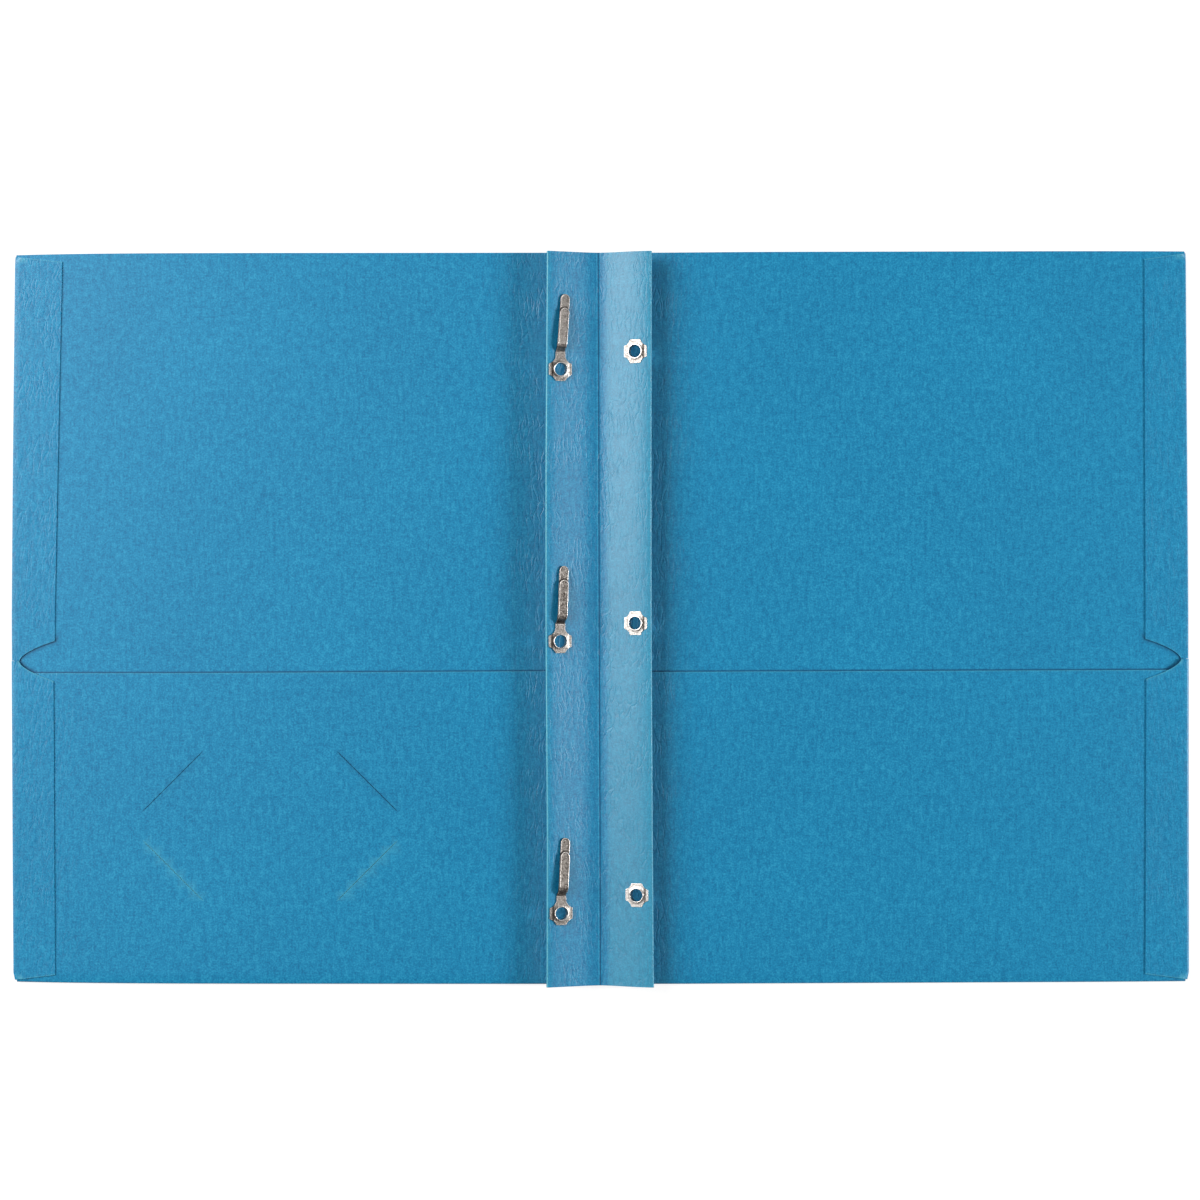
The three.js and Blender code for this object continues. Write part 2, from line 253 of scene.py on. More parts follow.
def lay(side, u, y, z):
    """Moves a folded point of a cover to where it lies on the table."""
    out = u / COVER_WIDTH
    up = abs(y) / COVER_TOP
    pull_in, pull_y = CORNER_PULLS[(side, 1 if y > 0.0 else -1)]
    x = side * (u - pull_in * up**PULL_POWER * smooth(u, *PULLED))
    share = EVEN_PULL * out + CORNER_PULL * abs(out) ** CORNER_POWER
    y_moved = y - math.copysign(pull_y * share * up**2, y)
    if side > 0:
        away = smooth(u, *TURNED)
        x, y_moved = x - BACK_TURN * y * away, y_moved + BACK_TURN * u * away
    return x, y_moved, z + wave(x, y) * smooth(u, *WAVED)


print("outer top corners at", [round(v, 1) for v in lay(-1, SIDE_EDGE, COVER_TOP, 0.0)])

# %% [markdown]
# ## How true the cuts are
# The long inner edges of the side flaps and the mouths of the pockets were not cut quite true.
# They run out by a millimetre or so over their length, and the eye sees that at once beside the
# square outline. Each flap has a drift in width and one that grows with height, and each mouth
# has a drop near the spine and one near the outer edge.

# %% Drifts of the cuts
FLAP_DRIFTS = {
    (-1, 1): (-0.2, 0.0118),
    (-1, -1): (-0.7, 0.0),
    (1, 1): (-0.35, -0.0042),
    (1, -1): (-0.593, -0.0041),
}
POCKET_DROPS = {-1: (0.1, 0.85), 1: (0.4, 0.45)}
DROP_STATIONS = (30.0, 170.0)
DROP_POWER = 4


def pocket_drop(side, u):
    """How far the pocket's top edge lies below true: it was not cut quite level."""
    return np.interp(u, DROP_STATIONS, POCKET_DROPS[side])


def true_up(side, b, t, u, y):
    """Moves a folded point of a side flap or pocket to where its cut really put it."""
    if t < PANEL_BOTTOM:
        share = max(0.0, (y - PANEL_BOTTOM) / (POCKET_TOP - PANEL_BOTTOM))
        return u, y - float(pocket_drop(side, u)) * share**DROP_POWER
    upper = t > NOTCH_LEVEL
    fold = UPPER_FOLD if upper else LOWER_FOLD
    if b < fold:
        return u, y
    wider, by_height = FLAP_DRIFTS[(side, 1 if upper else -1)]
    share = max(0.0, (fold - u) / (fold - SIDE_FLAP_INNER))
    return u - (wider + by_height * y) * share, y


print("pocket mouths drop by", [float(pocket_drop(side, DROP_STATIONS[1])) for side in (-1, 1)])

# %% [markdown]
# ## Cutting a blank
# A blank is an outline with holes in it, filled with points at a few millimetres, closer where
# a fold will be. Delaunay triangulation joins them and keeps the cut edges exact. The flat
# blank also gives the UV map, so the grain of the paper follows every fold.

# %% Stations
def spaced(low, high, step):
    """Even stations from low to high, at most a step apart."""
    count = max(1, math.ceil(abs(high - low) / step - 1e-6))
    return [low + (high - low) * index / count for index in range(count + 1)]


def stations(*stretches):
    """Stations along joined stretches, each given as (low, high, step)."""
    found = []
    for low, high, step in stretches:
        for value in spaced(low, high, step):
            if not found or abs(value - found[-1]) > 1e-6:
                found.append(value)
    return found


print("five stations:", stations((0.0, 1.0, 0.5), (1.0, 3.0, 1.0)))

# %% Inside a loop, and near one
def inside(points, loop):
    """For each point, whether it lies inside a closed loop."""
    loop = np.asarray(loop, float)
    following = np.roll(loop, -1, axis=0)
    x, y = points[:, None, 0], points[:, None, 1]
    crosses = (loop[:, 1] > y) != (following[:, 1] > y)
    rise = following[:, 1] - loop[:, 1]
    rise = np.where(np.abs(rise) < 1e-12, 1e-12, rise)
    at = loop[:, 0] + (y - loop[:, 1]) * (following[:, 0] - loop[:, 0]) / rise
    return (crosses & (x < at)).sum(axis=1) % 2 == 1


def clearance(points, loop):
    """For each point, its distance to the nearest edge of a closed loop."""
    start = np.asarray(loop, float)
    run = np.roll(start, -1, axis=0) - start
    size = np.maximum((run**2).sum(axis=1), 1e-12)
    to_point = points[:, None, :] - start[None, :, :]
    share = np.clip((to_point * run).sum(axis=2) / size, 0.0, 1.0)
    gap = to_point - share[:, :, None] * run
    return np.sqrt((gap**2).sum(axis=2)).min(axis=1)


def dense(loop, columns, rows, step=2.5):
    """Adds a point where an edge along X or Y passes a column or row, and evenly on others."""
    found = []
    for index, (x0, y0) in enumerate(loop):
        x1, y1 = loop[(index + 1) % len(loop)]
        found.append((x0, y0))
        if abs(y1 - y0) < 1e-9:
            marks = [c for c in columns if min(x0, x1) + 0.05 < c < max(x0, x1) - 0.05]
            marks.sort(reverse=x1 < x0)
            found += [(c, y0) for c in marks]
        elif abs(x1 - x0) < 1e-9:
            marks = [r for r in rows if min(y0, y1) + 0.05 < r < max(y0, y1) - 0.05]
            marks.sort(reverse=y1 < y0)
            found += [(x0, r) for r in marks]
        else:
            count = max(1, math.ceil(math.hypot(x1 - x0, y1 - y0) / step))
            for part in range(1, count):
                share = part / count
                found.append((x0 + (x1 - x0) * share, y0 + (y1 - y0) * share))
    return found


# %% Triangulate a blank
EDGE_ROOM = 0.12
MERGE_GAP = 1e-5
WHOLE_HULL = 0


def cut_blank(outline, holes, patches, lines=()):
    """Points and triangles of a flat blank. Each patch is a pair of columns and rows."""
    columns = sorted({round(c, 6) for cs, rs in patches for c in cs})
    rows = sorted({round(r, 6) for cs, rs in patches for r in rs})
    outline = dense(outline, columns, rows)
    loops = [outline, *holes]
    points = []
    edges = []
    for loop in loops:
        first = len(points)
        points += loop
        edges += [(first + i, first + (i + 1) % len(loop)) for i in range(len(loop))]
    for line in lines:
        edges += [(len(points) + i, len(points) + i + 1) for i in range(len(line) - 1)]
        points += line
    for patch_columns, patch_rows in patches:
        grid = np.array([(c, r) for c in patch_columns for r in patch_rows], float)
        keep = inside(grid, outline)
        for loop in loops + [line + line[-2:0:-1] for line in lines]:
            keep &= clearance(grid, loop) > EDGE_ROOM
        for hole in holes:
            keep &= ~inside(grid, hole)
        number = {}
        for index in np.flatnonzero(keep):
            number[int(index)] = len(points)
            points.append(tuple(grid[index]))
        tall = len(patch_rows)
        for index, at in number.items():
            if (index + 1) % tall and index + 1 in number:
                edges.append((at, number[index + 1]))
    flat = [Vector(p) for p in points]
    found = delaunay_2d_cdt(flat, edges, [], WHOLE_HULL, MERGE_GAP, False)
    verts = np.array([tuple(v) for v in found[0]], float)
    tris = np.array(found[2], int)
    middles = verts[tris].mean(axis=1)
    keep = inside(middles, outline)
    for hole in holes:
        keep &= ~inside(middles, hole)
    return verts, tris[keep]


# %% Make a mesh piece
def make_piece(name, points, faces):
    """A mesh object at the origin from points in millimetres."""
    mesh = bpy.data.meshes.new(name)
    mesh.from_pydata([(x * MM, y * MM, z * MM) for x, y, z in points], [], faces)
    mesh.polygons.foreach_set("use_smooth", [True] * len(mesh.polygons))
    mesh.update()
    piece = bpy.data.objects.new(name, mesh)
    bpy.context.scene.collection.objects.link(piece)
    return piece


def face_outwards(piece, outward):
    """Turns the faces of an open sheet so that the first stage of the shell looks outward."""
    if outward < 0:
        piece.data.flip_normals()


def map_flat(piece, flat):
    """The UV map is the flat blank itself, in metres."""
    layer = piece.data.uv_layers.new(name="blank")
    corner_verts = np.zeros(len(piece.data.loops), int)
    piece.data.loops.foreach_get("vertex_index", corner_verts)
    places = (np.asarray(flat)[corner_verts] * MM).astype(np.float32)
    layer.data.foreach_set("uv", places.ravel())


def mark(piece, name, values):
    """Keeps one number per point, which a material can read as an attribute."""
    attribute = piece.data.attributes.new(name, "FLOAT", "POINT")
    attribute.data.foreach_set("value", np.asarray(values, np.float32))


# %% Thickness
CUT_ROUNDING = 0.07
CUT_ANGLE = 50.0


def thicken(piece, thickness, rounding=CUT_ROUNDING):
    """Gives a sheet its thickness and takes the sharpness off its cut edges."""
    shell = piece.modifiers.new("thickness", "SOLIDIFY")
    shell.thickness = thickness * MM
    shell.offset = 0.0
    shell.use_even_offset = True
    edge = piece.modifiers.new("cut_edge", "BEVEL")
    edge.width = rounding * MM
    edge.segments = 2
    edge.limit_method = "ANGLE"
    edge.angle_limit = math.radians(CUT_ANGLE)
    edge.harden_normals = True
    return piece


# %% [markdown]
# ## The cover blanks
# Each half is cut with its pocket below, its two side flaps at the outer edge and the under ply
# of its binding flap at the spine. The front pocket has four slits at 45 degrees that take the
# corners of a calling card, and the under ply is pierced where the rivets go.

# %% Outline of a cover blank
FLAP_SLANT_START = 145.25
FLAP_SLANT = 2.4
FLAP_WIDTH = 17.5
NOTCH_STEPS = 16
SLOT_HALF = 0.05
CORNER_RADIUS = 0.35
POCKET_RELIEF = 0.3
FLAP_OUTER_B = CURL_START - SPINE_LENGTH
UPPER_FLAT_B = UPPER_FOLD + upper_moves[0][0]
LOWER_FLAT_B = LOWER_FOLD + lower_moves[0][0]
POCKET_END_T = PANEL_BOTTOM - POCKET_LENGTH
POCKET_FLAT_T = PANEL_BOTTOM - pocket_moves[0][0]


def slant(u):
    return FLAP_SLANT_START - FLAP_SLANT * (SIDE_EDGE - u) / FLAP_WIDTH


def notch_curve(share, fold, flat_b, direction):
    u = NOTCH_APEX - NOTCH_DEPTH * share**NOTCH_CURVE
    reach = max(share * NOTCH_HALF, SLOT_HALF)
    return flat_b + fold - u, NOTCH_LEVEL + direction * reach


def rounded(x, y, radius, first_angle, steps=6):
    """Points of a rounded corner about its centre, turning left by a quarter."""
    return [
        (
            x + radius * math.cos(math.radians(first_angle + 90.0 * i / steps)),
            y + radius * math.sin(math.radians(first_angle + 90.0 * i / steps)),
        )
        for i in range(steps + 1)
    ]


lower_notch = [
    notch_curve(1.0 - i / NOTCH_STEPS, LOWER_FOLD, LOWER_FLAT_B, -1) for i in range(NOTCH_STEPS + 1)
]
upper_notch = [
    notch_curve(i / NOTCH_STEPS, UPPER_FOLD, UPPER_FLAT_B, 1) for i in range(NOTCH_STEPS + 1)
]
lower_end_b = LOWER_FOLD + LOWER_LENGTH
upper_end_b = UPPER_FOLD + UPPER_LENGTH
cover_outline = [
    (FLAP_OUTER_B, -COVER_TOP),
    (POCKET_INNER - POCKET_RELIEF, -COVER_TOP),
    (POCKET_INNER - POCKET_RELIEF, PANEL_BOTTOM),
    (POCKET_INNER, PANEL_BOTTOM),
    (POCKET_INNER, POCKET_END_T),
    (POCKET_OUTER, POCKET_END_T),
    (POCKET_OUTER, PANEL_BOTTOM),
    (LOWER_FOLD, PANEL_BOTTOM),
    (LOWER_FOLD, -FLAP_SLANT_START),
    (LOWER_FLAT_B, -slant(LOWER_FOLD)),
    (lower_end_b, -slant(SIDE_FLAP_INNER)),
    *lower_notch,
    (LOWER_FOLD, NOTCH_LEVEL - SLOT_HALF),
    (LOWER_FOLD, NOTCH_LEVEL + SLOT_HALF),
    *upper_notch,
    (upper_end_b, slant(SIDE_FLAP_INNER)),
    (UPPER_FLAT_B, slant(UPPER_FOLD)),
    (UPPER_FOLD, FLAP_SLANT_START),
    *rounded(UPPER_FOLD - CORNER_RADIUS, COVER_TOP - CORNER_RADIUS, CORNER_RADIUS, 0.0),
    (FLAP_OUTER_B, COVER_TOP),
]
print("cover blank outline has", len(cover_outline), "corners")

# %% Holes and slits
EDGE_STEP = 2.2
UNDER_PLY_START = 1.125
CARD_FROM_SPINE = 131.8
CARD_LEVEL = -82.85
SLIT_HALF_SPACING = (38.9, 17.9)
SLIT_LENGTH = 34.5
SLIT_GAP = 0.16
# Painted highlight above zero and painted shade below zero along the lips of each slit
SLIT_LIGHT_AND_SHADE = (0.6, -0.9, 0.6, -0.6)
LIP_WIDTH = 0.25


def hole_loop(b, t, radius, steps=28):
    """A round hole, drawn clockwise."""
    return [
        (
            b + radius * math.cos(2.0 * math.pi * i / steps),
            t - radius * math.sin(2.0 * math.pi * i / steps),
        )
        for i in range(steps)
    ]


def slit_loop(b, t, angle, half_width, half_length):
    """A closed line round a slit, pointed at its ends, with even points along both sides."""
    along = Vector((math.cos(angle), math.sin(angle)))
    across = Vector((-math.sin(angle), math.cos(angle))) * half_width
    centre = Vector((b, t))
    places = spaced(-half_length, half_length, EDGE_STEP)
    near = [tuple(centre + along * place + across) for place in places[1:-1]]
    far = [tuple(centre + along * place - across) for place in places[1:-1]]
    first = tuple(centre + along * places[0])
    last = tuple(centre + along * places[-1])
    return [first, *near, last, *far[::-1]]


def pocket_t(y):
    """Where a height on the folded pocket lies on the flat blank."""
    return POCKET_FLAT_T - (y - PANEL_BOTTOM)


def under_ply_b(u):
    """Where a distance from the spine fold, on the under ply, lies on the flat blank."""
    straight_from = CURL_START - spine_moves[0][0] - spine_moves[1][0]
    return straight_from - (u - UNDER_PLY_START)


card_slits, slit_lips = [], []
for right in (-1, 1):
    for up in (-1, 1):
        # U runs outwards on the front cover, so the slits are mirrored with it
        slit_b = CARD_FROM_SPINE + right * SLIT_HALF_SPACING[0]
        slit_t = pocket_t(CARD_LEVEL + up * SLIT_HALF_SPACING[1])
        slit_turn = right * up * math.pi / 4.0
        card_slits.append(slit_loop(slit_b, slit_t, slit_turn, SLIT_GAP / 2.0, SLIT_LENGTH / 2.0))
        lip = slit_loop(slit_b, slit_t, slit_turn, LIP_WIDTH, SLIT_LENGTH / 2.0 + LIP_WIDTH)
        slit_lips.append([*lip, lip[0]])

prong_holes = [hole_loop(under_ply_b(PRONG_FROM_SPINE), y - RING_DROP, RIVET_RADIUS) for y in ROWS]
washer_holes = [hole_loop(under_ply_b(WASHER_FROM_SPINE), y, RIVET_RADIUS) for y in ROWS]
print("front blank holes:", len(prong_holes + card_slits), "back blank holes:", len(washer_holes))

# %% Lines beside the seams
# The painted shade of a point is spread over its triangles, so lines of points lie close beside each
# seam
GRID_STEP = 4.6
SEAM_REACH = 0.7
SEAM_STEPS = (-0.3, 0.2, 0.8)
SEAM_LINE_START = 205.0
NOTCH_LINE_STEPS = 10
APEX_INSET = 1.2


def notch_line(inset):
    """A line on the cover panel that follows the notch seen above it, a little inside it."""
    line = []
    for i in range(-NOTCH_LINE_STEPS, NOTCH_LINE_STEPS + 1):
        share = abs(i) / NOTCH_LINE_STEPS
        u = NOTCH_APEX - APEX_INSET * inset - NOTCH_DEPTH * share**NOTCH_CURVE
        line.append((u, NOTCH_LEVEL + math.copysign(share * (NOTCH_HALF - inset), i)))
    return line


def level_line(t):
    """A line across the cover panel near the notch, at one level."""
    return [(b, t) for b in spaced(SEAM_LINE_START, NOTCH_APEX - 1.0, GRID_STEP)]


def seam_lines(side):
    """Lines on the cover panel beside the pocket's top edge."""
    top = POCKET_TOP - float(pocket_drop(side, NOTCH_APEX))
    return [level_line(top + step) for step in SEAM_STEPS]


notch_lines = [notch_line(0.0), notch_line(SEAM_REACH), notch_line(2.0 * SEAM_REACH)]
print("lines beside the seams:", len(notch_lines + seam_lines(-1)))

# %% Lines beside the edges with a painted highlight
HIGHLIGHT_REACH = 0.4


def highlight_line(edge, direction):
    """A line on a side flap beside one of its cut edges."""
    return [(b, t + direction * HIGHLIGHT_REACH) for b, t in edge if b > LOWER_FLAT_B + HIGHLIGHT_REACH][1:-1]


flap_us = spaced(SIDE_FLAP_INNER, LOWER_FOLD, EDGE_STEP)
upper_slant = [(UPPER_FLAT_B + UPPER_FOLD - u, slant(u)) for u in flap_us]
lower_slant = [(LOWER_FLAT_B + LOWER_FOLD - u, -slant(u)) for u in flap_us]
highlight_lines = [highlight_line(upper_notch, 1), highlight_line(lower_notch, -1)]
highlight_lines += [highlight_line(upper_slant, -1), highlight_line(lower_slant, 1)]
# Each cut edge with the strength of the painted highlight along it
HIGHLIGHTED_EDGES = ((upper_notch, 0.15), (lower_notch, 0.5), (upper_slant, 0.4), (lower_slant, 0.4))
print("lines beside the rubbed edges:", len(highlight_lines))

# %% Points of a cover blank
NEAR_SPINE = 6.0
FLAP_STEP = 3.0
NOTCH_ROOM = 0.3
curl_b = CURL_START - spine_moves[0][0]
crease_b = curl_b - spine_moves[1][0]
cover_patch = (
    stations(
        (FLAP_OUTER_B, crease_b, FLAP_STEP),
        (crease_b, curl_b, 0.14),
        (curl_b, CURL_START, 0.2),
        (CURL_START, NEAR_SPINE, 1.4),
        (NEAR_SPINE, POCKET_OUTER, GRID_STEP),
    ),
    stations(
        (PANEL_BOTTOM, POCKET_TOP - 2.0 * SEAM_REACH, GRID_STEP),
        (POCKET_TOP - 2.0 * SEAM_REACH, POCKET_TOP + 2.0 * SEAM_REACH, SEAM_REACH / 2.0),
        (POCKET_TOP + 2.0 * SEAM_REACH, COVER_TOP, GRID_STEP),
    ),
)
pocket_patch = (
    stations((POCKET_INNER, NEAR_SPINE, 2.0), (NEAR_SPINE, POCKET_OUTER, GRID_STEP)),
    stations(
        (PANEL_BOTTOM, POCKET_FLAT_T, 0.2),
        (POCKET_FLAT_T, POCKET_END_T + SEAM_REACH, GRID_STEP),
        (POCKET_END_T + SEAM_REACH, POCKET_END_T, SEAM_REACH / 2.0),
    ),
)
upper_patch = (
    stations(
        (LOWER_FOLD, UPPER_FOLD, 0.5),
        (UPPER_FOLD, UPPER_FLAT_B, 0.11),
        (UPPER_FLAT_B, upper_end_b, EDGE_STEP),
    ),
    spaced(NOTCH_LEVEL + NOTCH_ROOM, FLAP_SLANT_START, FLAP_STEP),
)
lower_patch = (
    stations((LOWER_FOLD, LOWER_FLAT_B, 0.24), (LOWER_FLAT_B, lower_end_b, EDGE_STEP)),
    spaced(-FLAP_SLANT_START, NOTCH_LEVEL - NOTCH_ROOM, FLAP_STEP),
)
cover_patches = [cover_patch, pocket_patch, upper_patch, lower_patch]
print("patches of points:", len(cover_patches))

# %% [markdown]
# ## Wear of the card, and its painted light and shade
# Two numbers are kept on each point of the card. The first says how far the surface was bent and
# handled, and brings out its crackle; on the back half of the gathered strip it is raised to paint
# a sheen there. Tone is a painted highlight above zero, along cut edges and folds that catch the
# light, and a painted shade below zero, in the dark line where one layer ends on another.

# %% How worn a cover is
WORN_REACH = 23.0
WORN_FADE = 12.0
SPINE_WEAR = 0.85
SIDE_WEAR = 0.38
POCKET_WEAR = 0.45
# Stretches of the blank over which the wear of the side flaps and of the pocket's end grows
WORN_SIDE = (232.0, 238.0)
WORN_POCKET = (190.0, 232.0)


def worn_cover(b, t):
    """How worn the sheet is: most beside the strip, on the side flaps and at the pocket's end."""
    spine = SPINE_WEAR * math.exp(-max(0.0, b - CURL_START - WORN_REACH) / WORN_FADE)
    side = SIDE_WEAR * smooth(b, *WORN_SIDE) if t > PANEL_BOTTOM else 0.0
    pocket = POCKET_WEAR * smooth(b, *WORN_POCKET) if t < PANEL_BOTTOM else 0.0
    return max(spine, side, pocket)


print("worn beside the strip:", round(worn_cover(CURL_START, 0.0), 2))

# %% Painted shade and painted highlights beside the seams
# Painted shade on the panel beside the pocket's edge and the notch; painted highlights on cut edges
SEAM_RISE = 0.2
SEAM_WIDTH = 0.4
NOTCH_WIDTH = 1.2 * SEAM_REACH
NOTCH_SHADE = 0.9
MOUTH_WIDTH = 0.3
MOUTH_HIGHLIGHT = 0.25
HIGHLIGHT_WIDTH = 0.6 * HIGHLIGHT_REACH


def fade(distance, width):
    """Whole at no distance and next to nothing at twice the width, for one number or many."""
    return np.exp(-((distance / width) ** 2))


def there_and_back(line):
    """A line as a closed loop without an inside."""
    return line + line[-2:0:-1]


def painted_edge_light(side, flat):
    """Painted shade where a layer ends above, painted highlights on cut edges, per point of the blank.
    """
    b, t = flat[:, 0], flat[:, 1]
    over_panel = t > PANEL_BOTTOM
    above = t - POCKET_TOP + pocket_drop(side, b) - SEAM_RISE
    shade_at_seam = fade(above, SEAM_WIDTH) * over_panel * (b < POCKET_OUTER)
    notch = clearance(flat, there_and_back(notch_lines[0]))
    shade_in_notch = fade(notch, NOTCH_WIDTH) * over_panel * (b < LOWER_FOLD)
    highlighted = MOUTH_HIGHLIGHT * fade(t - POCKET_END_T, MOUTH_WIDTH)
    for edge, share in HIGHLIGHTED_EDGES:
        near = clearance(flat, there_and_back(edge))
        highlighted += share * fade(near, HIGHLIGHT_WIDTH) * (b > LOWER_FLAT_B + HIGHLIGHT_REACH)
    return np.where(over_panel & (b < LOWER_FOLD), -np.maximum(shade_at_seam, NOTCH_SHADE * shade_in_notch), highlighted)


# %% [markdown]
# ## How the gathered middle lies
# The binding flaps are not flat boards. Each swells a little between its folds, so the light
# runs over it softly, and the whole middle wanders from side to side by half a millimetre. The
# under ply, the top ply and the metal all take these shapes from the same functions.

# %% A place on a binding flap
def flap_place(side, u, w):
    """A point of a binding flap, U along it and W square to it, in the world."""
    x = SPINE_X + u * math.cos(tilt) - w * math.sin(tilt)
    z = SPINE_Z + u * math.sin(tilt) + w * math.cos(tilt)
    return side * x, z


# %% Swell of the card
SWELL_FROM = 0.6
SLOPE_KNOTS = {
    -1: ((0.0, 0.16), (2.8, 0.18), (5.0, 0.33), (8.0, 0.36), (13.0, 0.37), (17.5, 0.36), (20.2, 0.22)),
    1: ((0.0, 0.16), (1.5, 0.24), (4.0, 0.36), (6.5, 0.45), (10.0, 0.4), (15.0, 0.3), (20.2, 0.12)),
}
SLOPE_LENGTH = 20.2
SLOPE_STATIONS = np.linspace(0.0, SLOPE_LENGTH, 102)


def swell_table(knots):
    """How far the card of a binding flap stands above a straight slope, station by station."""
    slopes = np.interp(SLOPE_STATIONS, [d for d, slope in knots], [slope for d, slope in knots])
    climbs = (slopes[1:] + slopes[:-1]) / 2.0 * np.diff(SLOPE_STATIONS)
    rises = np.concatenate(([0.0], np.cumsum(climbs)))
    return rises - rises[-1] * SLOPE_STATIONS / SLOPE_STATIONS[-1]


swell_tables = {side: swell_table(knots) for side, knots in SLOPE_KNOTS.items()}


def swell(side, distance):
    return float(np.interp(distance, SLOPE_STATIONS, swell_tables[side]))


print("highest swell:", {side: round(float(table.max()), 2) for side, table in swell_tables.items()})

# %% Shifts of the gathered middle
PLY_MIDDLE = 1.05
END_SHIFT = 0.3
END_SHIFT_FROM = 118.0
# How far the left fold, the valley and the right fold lie to the right of true, level by level
SHIFT_LEVELS = (-146.0, -87.0, 0.0, 60.0, 146.0)
SHIFTS = {
    -21.3: (0.0, 0.1, -0.45, -0.45, 0.15),
    0.0: (0.5, 0.35, 0.05, -0.1, -0.4),
    21.3: (0.15, -0.3, -0.75, -0.8, -0.7),
}


def end_shift(y):
    """The gathered middle of the sheet lies a touch lower on the page at its ends."""
    return -END_SHIFT * smooth(abs(y), END_SHIFT_FROM, COVER_TOP)


def shift_across(x, y):
    """The gathered strip does not run quite straight: how far it lies to the right of true."""
    at_levels = [np.interp(y, SHIFT_LEVELS, shifts) for shifts in SHIFTS.values()]
    return float(np.interp(x, list(SHIFTS), at_levels))


def row_shift(side, from_spine, row_y):
    """A riveted piece goes with the card under its own hole, and keeps its shape."""
    x = flap_place(side, from_spine, PLY_MIDDLE)[0]
    return shift_across(x, row_y)


print("valley lies off true by", shift_across(0.0, 0.0))

# %% Cut and fold both covers
HALVES = {"front": -1, "back": 1}
# Where a cover takes over from the gathered middle, by U, and its under ply from the curl, by Z
GATHERED = (3.0, 20.0)
RAISED = (0.5, 3.0)
LIP_TONE_REACH = 0.9 * LIP_WIDTH

sheets = []
for half, side in HALVES.items():
    blank_holes = prong_holes + card_slits if side < 0 else washer_holes
    blank_lines = notch_lines + seam_lines(side) + highlight_lines + (slit_lips if side < 0 else [])
    flat, tris = cut_blank(cover_outline, blank_holes, cover_patches, blank_lines)
    folded = []
    for b, t in flat:
        u, y, z = fold_cover(b, t)
        gathered = 1.0 - smooth(u, *GATHERED) if b > CURL_START else 1.0
        if b < crease_b:
            z += swell(side, u - SWELL_FROM)
        u, y = true_up(side, b, t, u, y)
        x, y, z = lay(side, u, y, z)
        if b < CURL_START:
            x += shift_across(x, y) * smooth(z, *RAISED)
        folded.append((x, y + end_shift(y) * gathered, z))
    piece = make_piece(f"{half}_cover_sheet", folded, tris.tolist())
    face_outwards(piece, side)
    map_flat(piece, flat)
    mark(piece, "wear_and_sheen", [worn_cover(b, t) for b, t in flat])
    # Painted shade and painted highlights for this cover, point by point
    tone = painted_edge_light(side, flat)
    if side < 0:
        # Painted highlights and painted shade along the lips of the card slits
        for loop, slit_light in zip(card_slits, SLIT_LIGHT_AND_SHADE):
            tone += slit_light * np.clip(1.0 - clearance(flat, loop) / LIP_TONE_REACH, 0.0, 1.0)
    mark(piece, "tone", tone)
    thicken(piece, STOCK)
    sheets.append(piece)
    print(piece.name, len(flat), "points", len(tris), "triangles")

# %% [markdown]
# ## The gathered strip
# Both binding flaps share one top ply. It turns over at the outer edge of one flap, runs down to
# the valley above the spine, makes a narrow flat there, and climbs to the other outer edge. The
# two long folds are what catch the light beside the prongs and washers.

# %% Fold the strip
OUTER_BEND = 0.35
BEND_CENTRE_U = 21.65
VALLEY_HALF = 0.45
CREASE_BEND = 0.3
valley_u = (VALLEY_HALF - SPINE_X + PLY_MIDDLE * math.sin(tilt)) / math.cos(tilt)
crease_room = CREASE_BEND * math.tan(tilt / 2.0)
slope_length = BEND_CENTRE_U - valley_u - crease_room
strip_moves = [
    turn(OUTER_BEND, 180.0),
    go(slope_length),
    turn(CREASE_BEND, -FLAP_TILT),
    go(2.0 * (VALLEY_HALF - crease_room)),
    turn(CREASE_BEND, -FLAP_TILT),
    go(slope_length),
    turn(OUTER_BEND, 180.0),
]
strip_start = flap_place(1, BEND_CENTRE_U, PLY_MIDDLE - 2.0 * OUTER_BEND)
strip_length = total_length(strip_moves)
marks = [0.0]
for move in strip_moves:
    marks.append(marks[-1] + move[0])
valley = strip_length / 2.0


def fold_strip(b):
    """The section of the strip, with the gentle curves that the card takes between its folds."""
    x, z = walk(strip_start, FLAP_TILT, strip_moves, b)
    return x, z + swell(1 if x > 0.0 else -1, abs(x) - SWELL_FROM)


print("strip unfolds to", round(strip_length, 2))

# %% Cut the strip
strip_outline = [
    (0.0, -COVER_TOP),
    (strip_length, -COVER_TOP),
    (strip_length, COVER_TOP),
    (0.0, COVER_TOP),
]
strip_holes = [
    hole_loop(marks[1] + BEND_CENTRE_U - WASHER_FROM_SPINE, y, RIVET_RADIUS) for y in ROWS
] + [
    hole_loop(marks[6] - BEND_CENTRE_U + PRONG_FROM_SPINE, y - RING_DROP, RIVET_RADIUS) for y in ROWS
]
LIP_REACH = 1.2
STRIP_STEP = 4.0
strip_patch = (
    stations(
        (marks[0], marks[1], 0.14),
        (marks[1], marks[2] - LIP_REACH, EDGE_STEP),
        (marks[2] - LIP_REACH, marks[2], 0.2),
        (marks[2], marks[3], 0.07),
        (marks[3], marks[4], 0.15),
        (marks[4], marks[5], 0.07),
        (marks[5], marks[5] + LIP_REACH, 0.2),
        (marks[5] + LIP_REACH, marks[6], EDGE_STEP),
        (marks[6], marks[7], 0.14),
    ),
    spaced(-COVER_TOP, COVER_TOP, STRIP_STEP),
)
flat, tris = cut_blank(strip_outline, strip_holes, [strip_patch])
folded = []
for b, t in flat:
    x, z = fold_strip(b)
    folded.append((x + shift_across(x, t), t + end_shift(t), z))
strip = make_piece("gathered_strip", folded, tris.tolist())
